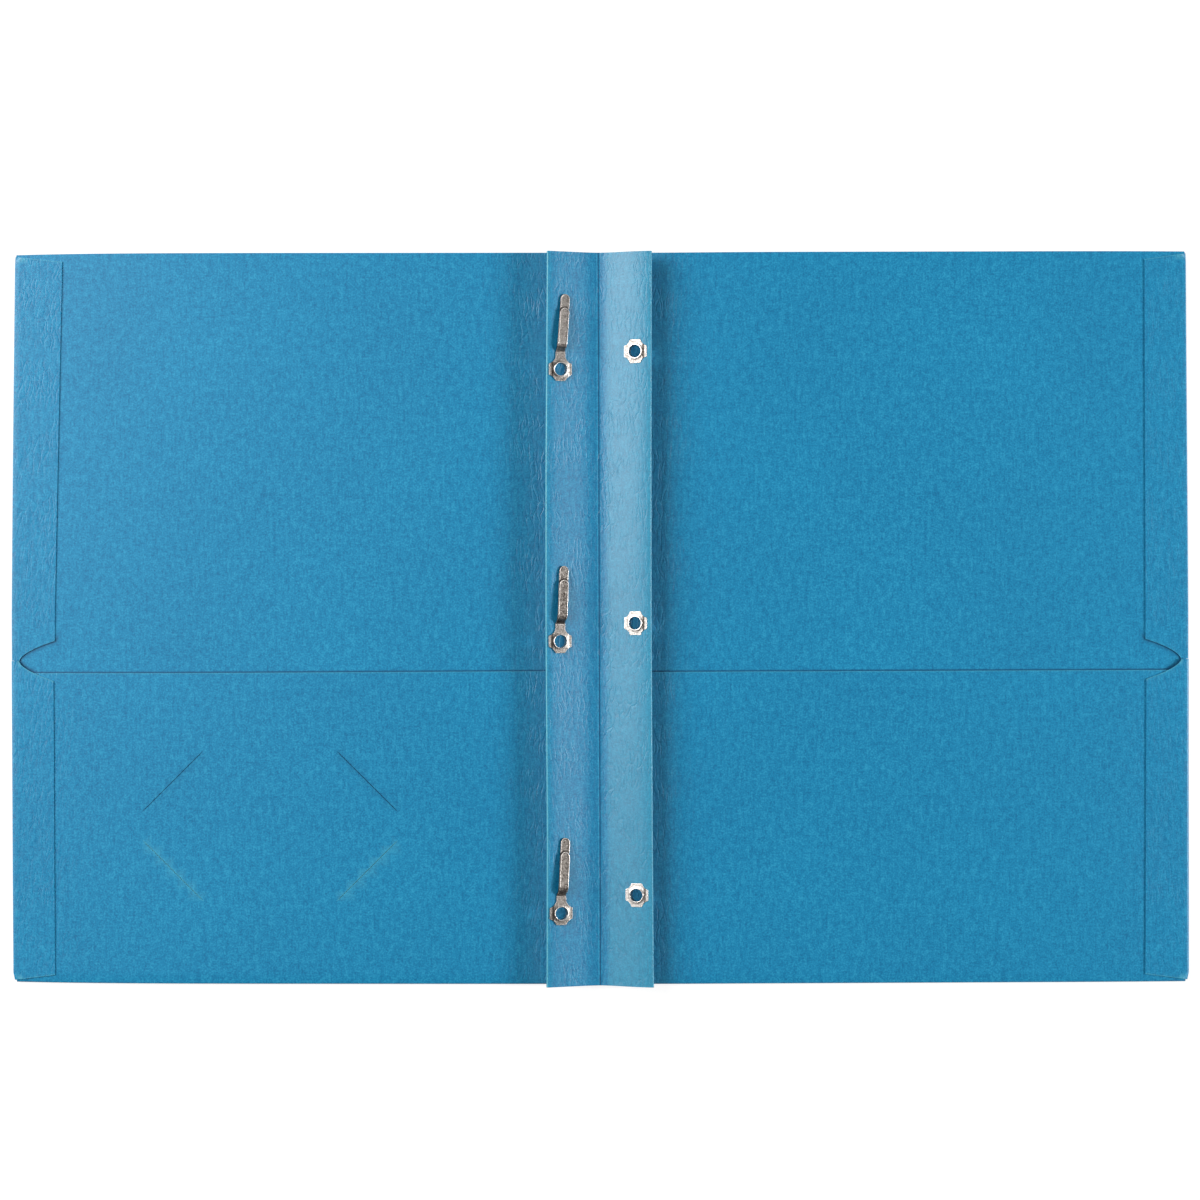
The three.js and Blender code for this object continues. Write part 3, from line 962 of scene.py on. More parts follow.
map_flat(strip, flat)
print(strip.name, len(flat), "points", len(tris), "triangles")

# %% Wear, painted sheen and painted light of the strip
# The back half lies above the front, as wear and as a painted sheen
BACK_WEAR_AND_SHEEN = 0.48
FRONT_WEAR = 0.34
FOLD_WEAR = 0.2
FOLD_WEAR_REACH = 2.5
# Place along the strip, strength and width of each painted highlight on a fold or lip, and of the
# painted shade in the crease
PAINTED_FOLD_LINES = (
    (marks[1] * 0.75, 0.15, 0.2),
    (marks[6] + marks[1] * 0.25, 0.85, 0.2),
    (valley + 0.95, 0.45, 0.25),
    (valley - 0.1, 0.2, 0.2),
    (valley + 0.35, -1.0, 0.25),
)
# A painted sheen over the whole back half; the pair below darkens each half towards the valley
BACK_SHEEN = 0.2
BACK_SHADE = (0.4, 2.4)
FRONT_SHADE = (0.24, 5.0)


def strip_wear_and_sheen(b):
    """Worn at its outer folds and in the valley; the back half is raised more, as a painted sheen."""
    fold = min(abs(b - marks[1]), abs(b - marks[6]), abs(b - valley))
    even = BACK_WEAR_AND_SHEEN if b < valley else FRONT_WEAR
    return even + FOLD_WEAR * math.exp(-fold / FOLD_WEAR_REACH)


def painted_fold_light(b):
    """Painted highlights at the folds, painted sheen on the back half, painted shade in the crease;
    darker towards the valley.
    """
    tone = sum(strength * fade(b - place, width) for place, strength, width in PAINTED_FOLD_LINES)
    even = BACK_SHEEN if b < valley else 0.0
    strength, width = BACK_SHADE if b < valley else FRONT_SHADE
    return tone + even - strength * fade(b - valley, width)


mark(strip, "wear_and_sheen", [strip_wear_and_sheen(b) for b, t in flat])
mark(strip, "tone", [painted_fold_light(b) for b, t in flat])
thicken(strip, STOCK)
print("tone in the crease:", round(float(painted_fold_light(PAINTED_FOLD_LINES[-1][0])), 2))

# %% [markdown]
# ## The glue films
# The side flaps are held by thin films of dried glue, hidden between the layers. They are made
# again here only because they have to lie in the same shallow wave as the paper.

# %% Glue films
GLUE_THICKNESS = 0.09
GLUE_INNER = 218.95
GLUE_STEPS = (3.5, 5.0)
# Outer edge, lower end, upper end and height of the film under each kind of flap
GLUE_STRETCHES = {
    "upper": (233.0, -7.55, 141.35, 0.45),
    "lower": (232.5, -141.35, -26.55, 1.45),
}

films = []
for half, side in HALVES.items():
    for level_name, (outer, low, high, z) in GLUE_STRETCHES.items():
        columns = spaced(GLUE_INNER, outer, GLUE_STEPS[0])
        rows = spaced(low, high, GLUE_STEPS[1])
        points = [lay(side, u, y, z) for u in columns for y in rows]
        tall = len(rows)
        quads = [
            (c * tall + r, (c + 1) * tall + r, (c + 1) * tall + r + 1, c * tall + r + 1)
            for c in range(len(columns) - 1)
            for r in range(tall - 1)
        ]
        film = make_piece(f"{half}_glue_film_{level_name}", points, quads)
        face_outwards(film, side)
        shell = film.modifiers.new("thickness", "SOLIDIFY")
        shell.thickness = GLUE_THICKNESS * MM
        shell.offset = 0.0
        films.append((film, half, level_name))
print("glue films:", len(films))

# %% [markdown]
# ## Stamped metal
# The washers and the prong bases are cross-shaped plates, blanked from thin steel and pressed,
# so their rims are rounded and their outer tabs step down a little. Each is drawn once about
# its own hole. A small node tree sets out the three copies along the spine.

# %% Outlines of the plates
METAL = 0.4
PLATE_MIDDLE = 1.75
TAB_REACH = 4.75
TAB_HALF = 2.4
TAB_HOLLOW = 2.9
TAB_CORNER = 0.6
LAST_TAB = (TAB_HALF - 0.2, TAB_REACH - 0.1)
NECK_HALF = 2.02
NECK_START = 4.7
RISER_START = 7.0
PLATE_HOLE = 2.74


def curve_points(start, control, end, steps=8):
    """A hollow corner between two tabs, as a curve with one control point."""
    found = []
    for i in range(steps + 1):
        s = i / steps
        found.append(
            (
                (1 - s) ** 2 * start[0] + 2 * s * (1 - s) * control[0] + s * s * end[0],
                (1 - s) ** 2 * start[1] + 2 * s * (1 - s) * control[1] + s * s * end[1],
            )
        )
    return found


def turned(points, quarter):
    """Points turned left by a number of quarters."""
    for _ in range(quarter):
        points = [(-y, x) for x, y in points]
    return points


def round_tab(half, reach, radius=0.5):
    """The rounded end of a tab that points along +X."""
    low = rounded(reach - radius, -half + radius, radius, -90.0, 3)
    high = rounded(reach - radius, half - radius, radius, 0.0, 3)
    return low + high


tab_end = (TAB_REACH - TAB_CORNER, TAB_HALF)
hollow = (TAB_HOLLOW, TAB_HOLLOW)
hollow_corner = curve_points(tab_end, hollow, (tab_end[1], tab_end[0]))[1:-1]

washer_outline = []
for quarter in range(4):
    washer_outline += turned(round_tab(TAB_HALF, TAB_REACH) + hollow_corner, quarter)

neck_join = curve_points(tab_end, hollow, (NECK_HALF, NECK_START))
base_outline = round_tab(TAB_HALF, TAB_REACH) + neck_join[1:]
base_outline += [(NECK_HALF, RISER_START), (-NECK_HALF, RISER_START)]
base_outline += [(-x, y) for x, y in reversed(neck_join[1:])]
base_outline += turned(round_tab(TAB_HALF, TAB_REACH) + hollow_corner, 2)
base_outline += turned(round_tab(*LAST_TAB) + hollow_corner, 3)
print("corners of a washer and a base:", len(washer_outline), len(base_outline))

# %% Press a plate
STEP_FROM = 3.25
STEP_WIDTH = 0.3
STEP_DEPTH = 0.16
STEP_SHADE = 0.5
STEP_SHADE_WIDTH = 0.2
DISH = 0.1
DISHED = (2.6, 3.6)
PLATE_ROUNDING = 0.13
PLATE_STEPS = (0.32, 0.4)
PLATE_HOLE_STEPS = 40
RIM_WIDTH = 0.42
RIM_POLISH = 0.25
WASHER_POLISH = 0.11
BASE_POLISH = 0.1


def plate_height(x, y):
    """The tabs beside the ring step down, and the metal dishes up towards the hole."""
    step = STEP_DEPTH * smooth(abs(x), STEP_FROM, STEP_FROM + STEP_WIDTH)
    dish = DISH * (1.0 - smooth(math.hypot(x, y), *DISHED))
    return PLATE_MIDDLE - step + dish


def press_plate(name, outline, face_polish):
    across, along = PLATE_STEPS
    patch = (spaced(-TAB_REACH, TAB_REACH, across), spaced(-TAB_REACH, RISER_START, along))
    hole = hole_loop(0.0, 0.0, PLATE_HOLE, PLATE_HOLE_STEPS)
    flat, tris = cut_blank(outline, [hole], [patch])
    points = [(x, y, plate_height(x, y)) for x, y in flat]
    plate = make_piece(name, points, tris.tolist())
    rim = np.clip(1.0 - clearance(flat, outline) / RIM_WIDTH, 0.0, 1.0)
    # Rims are rubbed bright; the line along each tab's step is a painted shade
    step = fade(np.abs(flat[:, 0]) - STEP_FROM - STEP_WIDTH / 2.0, STEP_SHADE_WIDTH)
    mark(plate, "polish_and_light", np.clip(face_polish + RIM_POLISH * rim - STEP_SHADE * step, 0.0, 1.0))
    return thicken(plate, METAL, PLATE_ROUNDING)


washer_plate = press_plate("washer_plates", washer_outline, WASHER_POLISH)
base_plate = press_plate("prong_base_plates", base_outline, BASE_POLISH)
print("plates:", washer_plate.name, base_plate.name)

# %% [markdown]
# ## Eyelets
# A hollow eyelet holds each plate to the card: a wide flange under the flap, a barrel through
# both plies, and a lip rolled over the plate. Its section is turned about the hole, as the real
# one is drawn from a small tube.

# %% Turn an eyelet
BORE = 2.54
BARREL = 2.7
LIP_OUTER = 2.95
LIP_LOW = 2.0
LIP_TOP = 2.5
LIP_ROUNDING = 0.12
LIP_STEPS = 4
LIP_TAPER = 0.05
BORE_CHAMFER = 0.08
BORE_SKIN = 0.02
FLANGE_RADIUS = 4.0
FLANGE_LOW = -0.4
FLANGE_HIGH = -0.1
FLANGE_CHAMFER = 0.12
FLANGE_ROOM = 0.1
LIP_POLISH = 0.85
BARREL_POLISH = 0.2
TURN_STEPS = 56


def eyelet_section():
    """The closed section of an eyelet as radius and height, going up its bore."""
    points = [(BORE, FLANGE_LOW + BORE_CHAMFER)]
    for corner, first_angle in ((BORE + LIP_ROUNDING, 180.0), (LIP_OUTER - LIP_ROUNDING, 90.0)):
        for i in range(LIP_STEPS + 1):
            angle = math.radians(first_angle - 90.0 / LIP_STEPS * i)
            reach = LIP_ROUNDING * math.cos(angle)
            points.append((corner + reach, LIP_TOP - LIP_ROUNDING + LIP_ROUNDING * math.sin(angle)))
    points += [(LIP_OUTER - LIP_TAPER, LIP_LOW), (BARREL, LIP_LOW)]
    points += [(BARREL, FLANGE_HIGH), (FLANGE_RADIUS - FLANGE_CHAMFER, FLANGE_HIGH)]
    points += [(FLANGE_RADIUS, FLANGE_HIGH - FLANGE_ROOM), (FLANGE_RADIUS, FLANGE_LOW + FLANGE_ROOM)]
    points += [(FLANGE_RADIUS - FLANGE_CHAMFER, FLANGE_LOW), (BORE + FLANGE_ROOM, FLANGE_LOW)]
    return points


def turn_eyelet(name):
    section = eyelet_section()
    points = []
    for i in range(TURN_STEPS):
        angle = 2.0 * math.pi * i / TURN_STEPS
        points += [(r * math.cos(angle), r * math.sin(angle), h) for r, h in section]
    size = len(section)
    on_lip = [h > LIP_LOW and r > BORE + BORE_SKIN for r, h in section]
    shine = [LIP_POLISH if lip else BARREL_POLISH for lip in on_lip]
    quads = []
    for i in range(TURN_STEPS):
        here, there = i * size, ((i + 1) % TURN_STEPS) * size
        for j in range(size):
            k = (j + 1) % size
            quads.append((here + j, here + k, there + k, there + j))
    eyelet = make_piece(name, points, quads)
    mark(eyelet, "polish_and_light", shine * TURN_STEPS)
    return eyelet


prong_eyelets = turn_eyelet("prong_eyelets")
washer_eyelets = turn_eyelet("washer_eyelets")
print("eyelet faces:", len(prong_eyelets.data.polygons))

# %% [markdown]
# ## Materials
# Two finishes carry the folder: dyed cover stock, with its soft fibrous mottle and the fine
# crackle where it has been handled, and plain nickel-plated steel, dull and pitted on its faces
# and polished on its rims. The dried glue is never seen.

# %% Material helpers
def paint(code):
    """A colour written as #rrggbb, as the light-linear numbers that a shader wants."""
    found = []
    for at in (1, 3, 5):
        value = int(code[at : at + 2], 16) / 255.0
        found.append(value / 12.92 if value <= 0.04045 else ((value + 0.055) / 1.055) ** 2.4)
    return (*found, 1.0)


def add_node(tree, kind, **settings):
    """Adds a node, setting its properties, and its inputs from a dict named inputs."""
    node = tree.nodes.new(kind)
    inputs = settings.pop("inputs", {})
    for key, value in settings.items():
        setattr(node, key, value)
    for key, value in inputs.items():
        if isinstance(value, bpy.types.NodeSocket):
            tree.links.new(value, node.inputs[key])
        else:
            node.inputs[key].default_value = value
    return node


def new_material(name):
    """An empty material with one Principled shader, returned with its tree."""
    material = bpy.data.materials.new(name)
    material.use_nodes = True
    tree = material.node_tree
    tree.nodes.clear()
    shader = tree.nodes.new("ShaderNodeBsdfPrincipled")
    output = tree.nodes.new("ShaderNodeOutputMaterial")
    tree.links.new(shader.outputs["BSDF"], output.inputs["Surface"])
    return material, tree, shader


def noise(tree, vector, scale, detail=2.0, roughness=0.5, distortion=0.0):
    node = add_node(
        tree,
        "ShaderNodeTexNoise",
        inputs={
            "Vector": vector,
            "Scale": scale,
            "Detail": detail,
            "Roughness": roughness,
            "Distortion": distortion,
        },
    )
    return node.outputs["Fac"]


def math_node(tree, operation, first, second=0.0, third=0.0, clamp=False):
    node = add_node(tree, "ShaderNodeMath", operation=operation, use_clamp=clamp)
    for index, value in enumerate((first, second, third)):
        if isinstance(value, bpy.types.NodeSocket):
            tree.links.new(value, node.inputs[index])
        else:
            node.inputs[index].default_value = value
    return node.outputs[0]


def stretch(tree, vector, scale, turn_by=0.0):
    """The same coordinates, scaled and turned, so that a pattern runs one way."""
    node = add_node(
        tree,
        "ShaderNodeMapping",
        inputs={"Vector": vector, "Scale": scale, "Rotation": (0.0, 0.0, turn_by)},
    )
    return node.outputs["Vector"]


def ramp(tree, fac, *stops):
    """A colour ramp from (place, colour) stops, colours as #rrggbb."""
    node = add_node(tree, "ShaderNodeValToRGB", inputs={"Fac": fac})
    elements = node.color_ramp.elements
    while len(elements) < len(stops):
        elements.new(0.5)
    for element, (place, colour) in zip(elements, stops):
        element.position = place
        element.color = paint(colour)
    return node.outputs["Color"]


def level(tree, fac, low, high, out_low=0.0, out_high=1.0):
    """Maps a stretch of values to another, held at its ends."""
    node = add_node(
        tree,
        "ShaderNodeMapRange",
        inputs={"Value": fac, "From Min": low, "From Max": high, "To Min": out_low, "To Max": out_high},
    )
    return node.outputs["Result"]


def mix(tree, fac, first, second, blend_type="MIX"):
    node = add_node(tree, "ShaderNodeMix", data_type="RGBA", blend_type=blend_type)
    for index, value in ((0, fac), (6, first), (7, second)):
        if isinstance(value, bpy.types.NodeSocket):
            tree.links.new(value, node.inputs[index])
        else:
            node.inputs[index].default_value = value
    return node.outputs[2]


# %% [markdown]
# ### Cover stock
# The card is dyed through, so the colour varies softly: lighter flocks of fibre a millimetre or
# so across, long faint streaks, and broad uneven patches. Where it was folded and handled, the
# surface has cracked into fine lines with paler scuffs between them. The pattern reads the
# blank's own UV map, so it runs on through every fold. A noise's scale is its features in a
# metre, so 1450 gives fibres of about 0.7 mm.

# %% Fibres of the card
FIBRE_SCALE = 1450.0
FLOCK_SCALE = 420.0
PATCH_SCALE = 14.0
STREAKS = (900.0, 130.0, 1.0)
STREAK_TURN = 0.35
FIBRE_SHARE = 0.56
FLOCK_SHARE = 0.26
STREAK_SHARE = 0.18
DYE_STOPS = ((0.39, "#01719f"), (0.5, "#0a86b4"), (0.61, "#279bc4"))
PATCH_STOPS = ((0.3, "#f4f6f8"), (0.7, "#ffffff"))


def dyed_fibres(tree, place):
    """The colour of unworn card, with the fibre and flock patterns that also make its bumps."""
    fibre = noise(tree, place, FIBRE_SCALE, 3.0, 0.6, 0.4)
    flock = noise(tree, place, FLOCK_SCALE, 3.0, 0.55, 0.3)
    streak = noise(tree, stretch(tree, place, STREAKS, STREAK_TURN), 1.0, 2.0, 0.5)
    tone = math_node(tree, "MULTIPLY", flock, FLOCK_SHARE)
    tone = math_node(tree, "MULTIPLY_ADD", fibre, FIBRE_SHARE, tone)
    tone = math_node(tree, "MULTIPLY_ADD", streak, STREAK_SHARE, tone)
    broad = ramp(tree, noise(tree, place, PATCH_SCALE, 3.0, 0.55), *PATCH_STOPS)
    return mix(tree, 1.0, ramp(tree, tone, *DYE_STOPS), broad, "MULTIPLY"), fibre, flock


# %% Crackle and scuffs of the card
CRACK_STRETCH = (1.5, 0.4, 1.0)
CRACK_TURN = 0.4
CRACK_SCALE = 360.0
CRACK_WIDTH = 0.16
BEND_SCALE = 160.0
BEND_REACH = (0.004, 0.004, 0.0)
SPOT_SCALE = 70.0
SCUFFS = (700.0, 170.0, 1.0)
SCUFF_TURN = 0.2
SCUFF_SHARE = 0.09


def crackle(tree, place, wear_and_sheen):
    """How far a point lies in a crack: bent cell edges, only where the card is worn."""
    bent = noise(tree, place, BEND_SCALE)
    shifted = add_node(
        tree, "ShaderNodeVectorMath", operation="MULTIPLY_ADD",
        inputs={0: bent, 1: BEND_REACH, 2: stretch(tree, place, CRACK_STRETCH, CRACK_TURN)},
    ).outputs["Vector"]
    cells = add_node(
        tree, "ShaderNodeTexVoronoi", feature="DISTANCE_TO_EDGE",
        inputs={"Vector": shifted, "Scale": CRACK_SCALE},
    ).outputs["Distance"]
    lines = level(tree, cells, 0.0, CRACK_WIDTH, 1.0, 0.0)
    worn_spots = level(tree, noise(tree, place, SPOT_SCALE, 3.0, 0.6), 0.36, 0.56)
    cracked = math_node(tree, "MULTIPLY", wear_and_sheen, worn_spots, clamp=True)
    return math_node(tree, "MULTIPLY", lines, cracked)


def scuffs(tree, place, wear_and_sheen):
    """How far a point of worn card is scuffed pale, in long faint patches."""
    patches = noise(tree, stretch(tree, place, SCUFFS, SCUFF_TURN), 1.0, 3.0, 0.6)
    share = math_node(tree, "MULTIPLY", wear_and_sheen, SCUFF_SHARE)
    return math_node(tree, "MULTIPLY", level(tree, patches, 0.5, 0.72), share)


# %% Cover stock
CRACK_SHADE = 0.35
CRACK_DEPTH = -2.6
PALE_WEAR_AND_SHEEN = 0.05
PAINTED_HIGHLIGHT = 0.75
PAINTED_SHADE = 0.85
FLOCK_HEIGHT = 0.6
FIBRE_HEIGHT = 0.4
CARD_BUMP = {"Strength": 0.55, "Distance": 0.00008}


def make_cover_stock():
    material, tree, shader = new_material("dyed_cover_stock")
    place = add_node(tree, "ShaderNodeUVMap", uv_map="blank").outputs["UV"]
    wear_and_sheen = add_node(tree, "ShaderNodeAttribute", attribute_name="wear_and_sheen").outputs["Fac"]
    tone = add_node(tree, "ShaderNodeAttribute", attribute_name="tone").outputs["Fac"]
    colour, fibre, flock = dyed_fibres(tree, place)
    cracks = crackle(tree, place, wear_and_sheen)
    # Cracks and scuffs are wear; paleness is wear plus a painted sheen; tone paints highlight and shade
    for share, code in (
        (math_node(tree, "MULTIPLY", cracks, CRACK_SHADE), "#1c6f9c"),
        (scuffs(tree, place, wear_and_sheen), "#79aecb"),
        (level(tree, wear_and_sheen, 0.5, 1.0, 0.0, PALE_WEAR_AND_SHEEN), "#a9d3de"),
        (level(tree, tone, 0.0, 1.0, 0.0, PAINTED_HIGHLIGHT), "#78cfd2"),
        (level(tree, tone, -1.0, 0.0, PAINTED_SHADE, 0.0), "#053f66"),
    ):
        colour = mix(tree, share, colour, paint(code))
    tree.links.new(colour, shader.inputs["Base Color"])
    height = math_node(tree, "MULTIPLY", flock, FLOCK_HEIGHT)
    height = math_node(tree, "MULTIPLY_ADD", fibre, FIBRE_HEIGHT, height)
    height = math_node(tree, "MULTIPLY_ADD", cracks, CRACK_DEPTH, height)
    bump = add_node(tree, "ShaderNodeBump", inputs={**CARD_BUMP, "Height": height})
    tree.links.new(bump.outputs["Normal"], shader.inputs["Normal"])
    shader.inputs["Roughness"].default_value = 0.42
    shader.inputs["Specular IOR Level"].default_value = 0.58
    return material


cover_stock = make_cover_stock()
print(cover_stock.name, len(cover_stock.node_tree.nodes), "nodes")

# %% [markdown]
# ### Nickel-plated steel
# The flat faces are dull from the rolling mill, with dark pits, bright specks and a fine grain.
# The pressed rims are smoother. A number on each point says how bright it is: 1 on a rubbed rim,
# 0 on a dull face, and below that a painted shade on edges and in gaps. It also carries painted
# highlights and a painted brightness that differs from row to row.

# %% Steel and glue
GRAIN_SCALE = 2600.0
MOTTLE_SCALE = 1300.0
CLOUD_SCALE = 520.0
PIT_SHARE = 0.65
SPARK_SHARE = 0.6
PIT_DEPTH = -0.8
RIM_BUMP = 0.3
FACE_ROUGHNESS = 0.3
GRAIN_ROUGHNESS = 0.16
RIM_SMOOTHING = -0.1
STEEL_BUMP = {"Strength": 0.35, "Distance": 0.00005}


def make_steel():
    material, tree, shader = new_material("nickel_steel")
    place = add_node(tree, "ShaderNodeTexCoord").outputs["Object"]
    polish_and_light = add_node(tree, "ShaderNodeAttribute", attribute_name="polish_and_light").outputs["Fac"]
    grain = noise(tree, place, GRAIN_SCALE, 3.0, 0.65)
    cloud = noise(tree, place, CLOUD_SCALE)
    mottle = noise(tree, place, MOTTLE_SCALE, 3.0, 0.65)
    pits = level(tree, mottle, 0.4, 0.48, 1.0, 0.0)
    sparks = level(tree, mottle, 0.58, 0.66)
    dull = ramp(tree, cloud, (0.35, "#6b6560"), (0.65, "#928c86"))
    dull = mix(tree, math_node(tree, "MULTIPLY", pits, PIT_SHARE), dull, paint("#3d3733"))
    dull = mix(tree, math_node(tree, "MULTIPLY", sparks, SPARK_SHARE), dull, paint("#d8d2cc"))
    colour = mix(tree, level(tree, polish_and_light, 0.0, 1.0), dull, paint("#f2ece6"))
    # Below zero the colour darkens towards a painted shade
    colour = mix(tree, level(tree, polish_and_light, -1.0, 0.0, 0.9, 0.0), colour, paint("#3a3431"))
    tree.links.new(colour, shader.inputs["Base Color"])
    rough = math_node(tree, "MULTIPLY_ADD", grain, GRAIN_ROUGHNESS, FACE_ROUGHNESS)
    rough = math_node(tree, "MULTIPLY_ADD", polish_and_light, RIM_SMOOTHING, rough)
    tree.links.new(rough, shader.inputs["Roughness"])
    height = math_node(tree, "MULTIPLY_ADD", pits, PIT_DEPTH, grain)
    height = math_node(tree, "MULTIPLY", height, level(tree, polish_and_light, 0.2, 1.0, 1.0, RIM_BUMP))
    bump = add_node(tree, "ShaderNodeBump", inputs={**STEEL_BUMP, "Height": height})
    tree.links.new(bump.outputs["Normal"], shader.inputs["Normal"])
    shader.inputs["Metallic"].default_value = 1.0
    return material


def make_glue():
    material, tree, shader = new_material("dried_glue")
    place = add_node(tree, "ShaderNodeTexCoord").outputs["Object"]
    colour = ramp(tree, noise(tree, place, 300.0, 3.0), (0.35, "#d8cfb4"), (0.65, "#e8e0c8"))
    tree.links.new(colour, shader.inputs["Base Color"])
    shader.inputs["Roughness"].default_value = 0.45
    return material


nickel_steel = make_steel()
dried_glue = make_glue()
for piece in [*sheets, strip]:
    piece.data.materials.append(cover_stock)
for film, half, level_name in films:
    film.data.materials.append(dried_glue)
print("also made:", nickel_steel.name, dried_glue.name)

# %% [markdown]
# ## Three in a row
# The tree takes one plate or eyelet, sets points along the spine at the punch spacing, puts a
# copy on each and makes the copies real. The same tree serves every repeated piece, with its
# spacing and count as inputs.

# %% Row of three
ROW_SPACING = 107.95


def make_row_tree():
    tree = bpy.data.node_groups.new("punched_row", "GeometryNodeTree")
    face = tree.interface
    face.new_socket(name="Geometry", in_out="INPUT", socket_type="NodeSocketGeometry")
    face.new_socket(name="Count", in_out="INPUT", socket_type="NodeSocketInt")
    face.new_socket(name="Spacing", in_out="INPUT", socket_type="NodeSocketVector")
    face.new_socket(name="Start", in_out="INPUT", socket_type="NodeSocketVector")
    face.new_socket(name="Material", in_out="INPUT", socket_type="NodeSocketMaterial")
    face.new_socket(name="Geometry", in_out="OUTPUT", socket_type="NodeSocketGeometry")
    given = tree.nodes.new("NodeGroupInput")
    result = tree.nodes.new("NodeGroupOutput")
    line = add_node(
        tree, "GeometryNodeMeshLine",
        inputs={
            "Count": given.outputs["Count"],
            "Start Location": given.outputs["Start"],
            "Offset": given.outputs["Spacing"],
        },
    )
    copies = add_node(
        tree, "GeometryNodeInstanceOnPoints",
        inputs={"Points": line.outputs["Mesh"], "Instance": given.outputs["Geometry"]},
    )
    real = add_node(
        tree, "GeometryNodeRealizeInstances", inputs={"Geometry": copies.outputs["Instances"]}
    )
    painted = add_node(
        tree, "GeometryNodeSetMaterial",
        inputs={"Geometry": real.outputs["Geometry"], "Material": given.outputs["Material"]},
    )
    tree.links.new(painted.outputs["Geometry"], result.inputs["Geometry"])
    return tree


row_tree = make_row_tree()
print(row_tree.name, "has inputs", [item.name for item in row_tree.interface.items_tree])

# %% Set out the rows
def set_out(piece, side, from_spine, first_y):
    """Makes a piece three in a row, and sets the row on its binding flap."""
    row = piece.modifiers.new("row", "NODES")
    row.node_group = row_tree
    wanted = {
        "Count": 3,
        "Spacing": (0.0, -ROW_SPACING * MM, 0.0),
        "Start": (0.0, first_y * MM, 0.0),
        "Material": nickel_steel,
    }
    for item in row_tree.interface.items_tree:
        if item.in_out == "INPUT" and item.name in wanted:
            row[item.identifier] = wanted[item.name]
    bpy.context.view_layer.update()
    made = bpy.data.meshes.new_from_object(
        piece.evaluated_get(bpy.context.evaluated_depsgraph_get())
    )
    piece.modifiers.clear()
    made.name = piece.name
    piece.data = made
    spot = Matrix.Translation((side * SPINE_X * MM, 0.0, SPINE_Z * MM))
    lean = Matrix.Rotation(-side * tilt, 4, "Y")
    out = Matrix.Translation((side * from_spine * MM, 0.0, 0.0))
    made.transform(spot @ lean @ out)
    row_ys = [first_y - number * ROW_SPACING for number in range(3)]
    for vertex in made.vertices:
        nearest = min(row_ys, key=lambda row_y: abs(row_y - vertex.co.y / MM))
        vertex.co.x += row_shift(side, from_spine, nearest) * MM
    print(piece.name, len(made.polygons), "faces")
    return piece


set_out(washer_plate, 1, WASHER_FROM_SPINE, ROWS[0])
set_out(washer_eyelets, 1, WASHER_FROM_SPINE, ROWS[0])
set_out(base_plate, -1, PRONG_FROM_SPINE, ROWS[0] - RING_DROP)
set_out(prong_eyelets, -1, PRONG_FROM_SPINE, ROWS[0] - RING_DROP)

# %% Painted light on the washers, row by row
WASHER_ROW_LIGHT = (0.0, 0.12, 0.45)


def paint_row_light(piece, first_y, gains):
    """Paints more light on some pieces of a row than on others."""
    for vertex, value in zip(piece.data.vertices, piece.data.attributes["polish_and_light"].data):
        number = round((first_y - vertex.co.y / MM) / ROW_SPACING)
        value.value += gains[number]


paint_row_light(washer_plate, ROWS[0], WASHER_ROW_LIGHT)
print("washers brightened by", WASHER_ROW_LIGHT)

# %% [markdown]
# ## The legs
# Two strips lie on each other. Both climb from the base in one S bend; the upper one ends
# sooner. A leg has raised, burnished rims and a slightly sunken face, and a round tip. It is
# built as rings that follow its outline inwards, so the rims run round the tip. In life a leg
# throws a dark line on the leg below it. It is too fine for soft light to draw, so it is kept as
# a low polish on the points past the tip.

# %% One strip
LEG_HALF = 1.9
TIP_STEPS = 14
# Each ring's distance in from the edge, height and polish, from the underside up over the rim.
# A polish below zero, on the leg's sides, is a painted shade.
LEG_RINGS = (
    (0.9, -0.2, 0.0),
    (0.0, -0.2, -0.8),
    (0.0, 0.1, -0.8),
    (0.05, 0.15, 0.2),
    (0.12, 0.18, 0.55),
    (0.26, 0.18, 0.5),
    (0.36, 0.16, 0.0),
    (0.6, 0.15, 0.0),
    (1.1, 0.15, 0.0),
    (1.6, 0.15, 0.0),
)


def strip_ring(inset, along):
    """A ring round a strip's outline at an inset from its edge: left side, tip, right side."""
    half = LEG_HALF - inset
    ring = [(-half, a) for a in along]
    for i in range(1, TIP_STEPS):
        angle = math.pi - math.pi * i / TIP_STEPS
        ring.append((half * math.cos(angle), along[-1] + half * math.sin(angle)))
    ring += [(half, a) for a in reversed(along)]
    return ring


def strip_leg(along, middle):
    """Points, faces and polish of a strip whose middle height is a function of the distance."""
    points, polish_and_light, faces = [], [], []
    count = 0
    for inset, height, shine in LEG_RINGS:
        ring = strip_ring(inset, along)
        count = len(ring)
        for x, a in ring:
            points.append((x, a, middle(a) + height))
            polish_and_light.append(shine)
    rings = len(LEG_RINGS)
    for r in range(rings - 1):
        for i in range(count - 1):
            a, b = r * count + i, r * count + i + 1
            faces.append((a, b, b + count, a + count))
        a, b = r * count, r * count + count - 1
        faces.append((a + count, b + count, b, a))
    for base in (0, (rings - 1) * count):
        for i in range(count // 2 - 1):
            quad = (base + i, base + i + 1, base + count - 2 - i, base + count - 1 - i)
            faces.append(quad if base else quad[::-1])
        if count % 2:
            centre = base + count // 2
            last = (centre - 1, centre, centre + 1)
            faces.append(last if base else last[::-1])
    return points, faces, polish_and_light


print("rings of a leg:", len(LEG_RINGS))

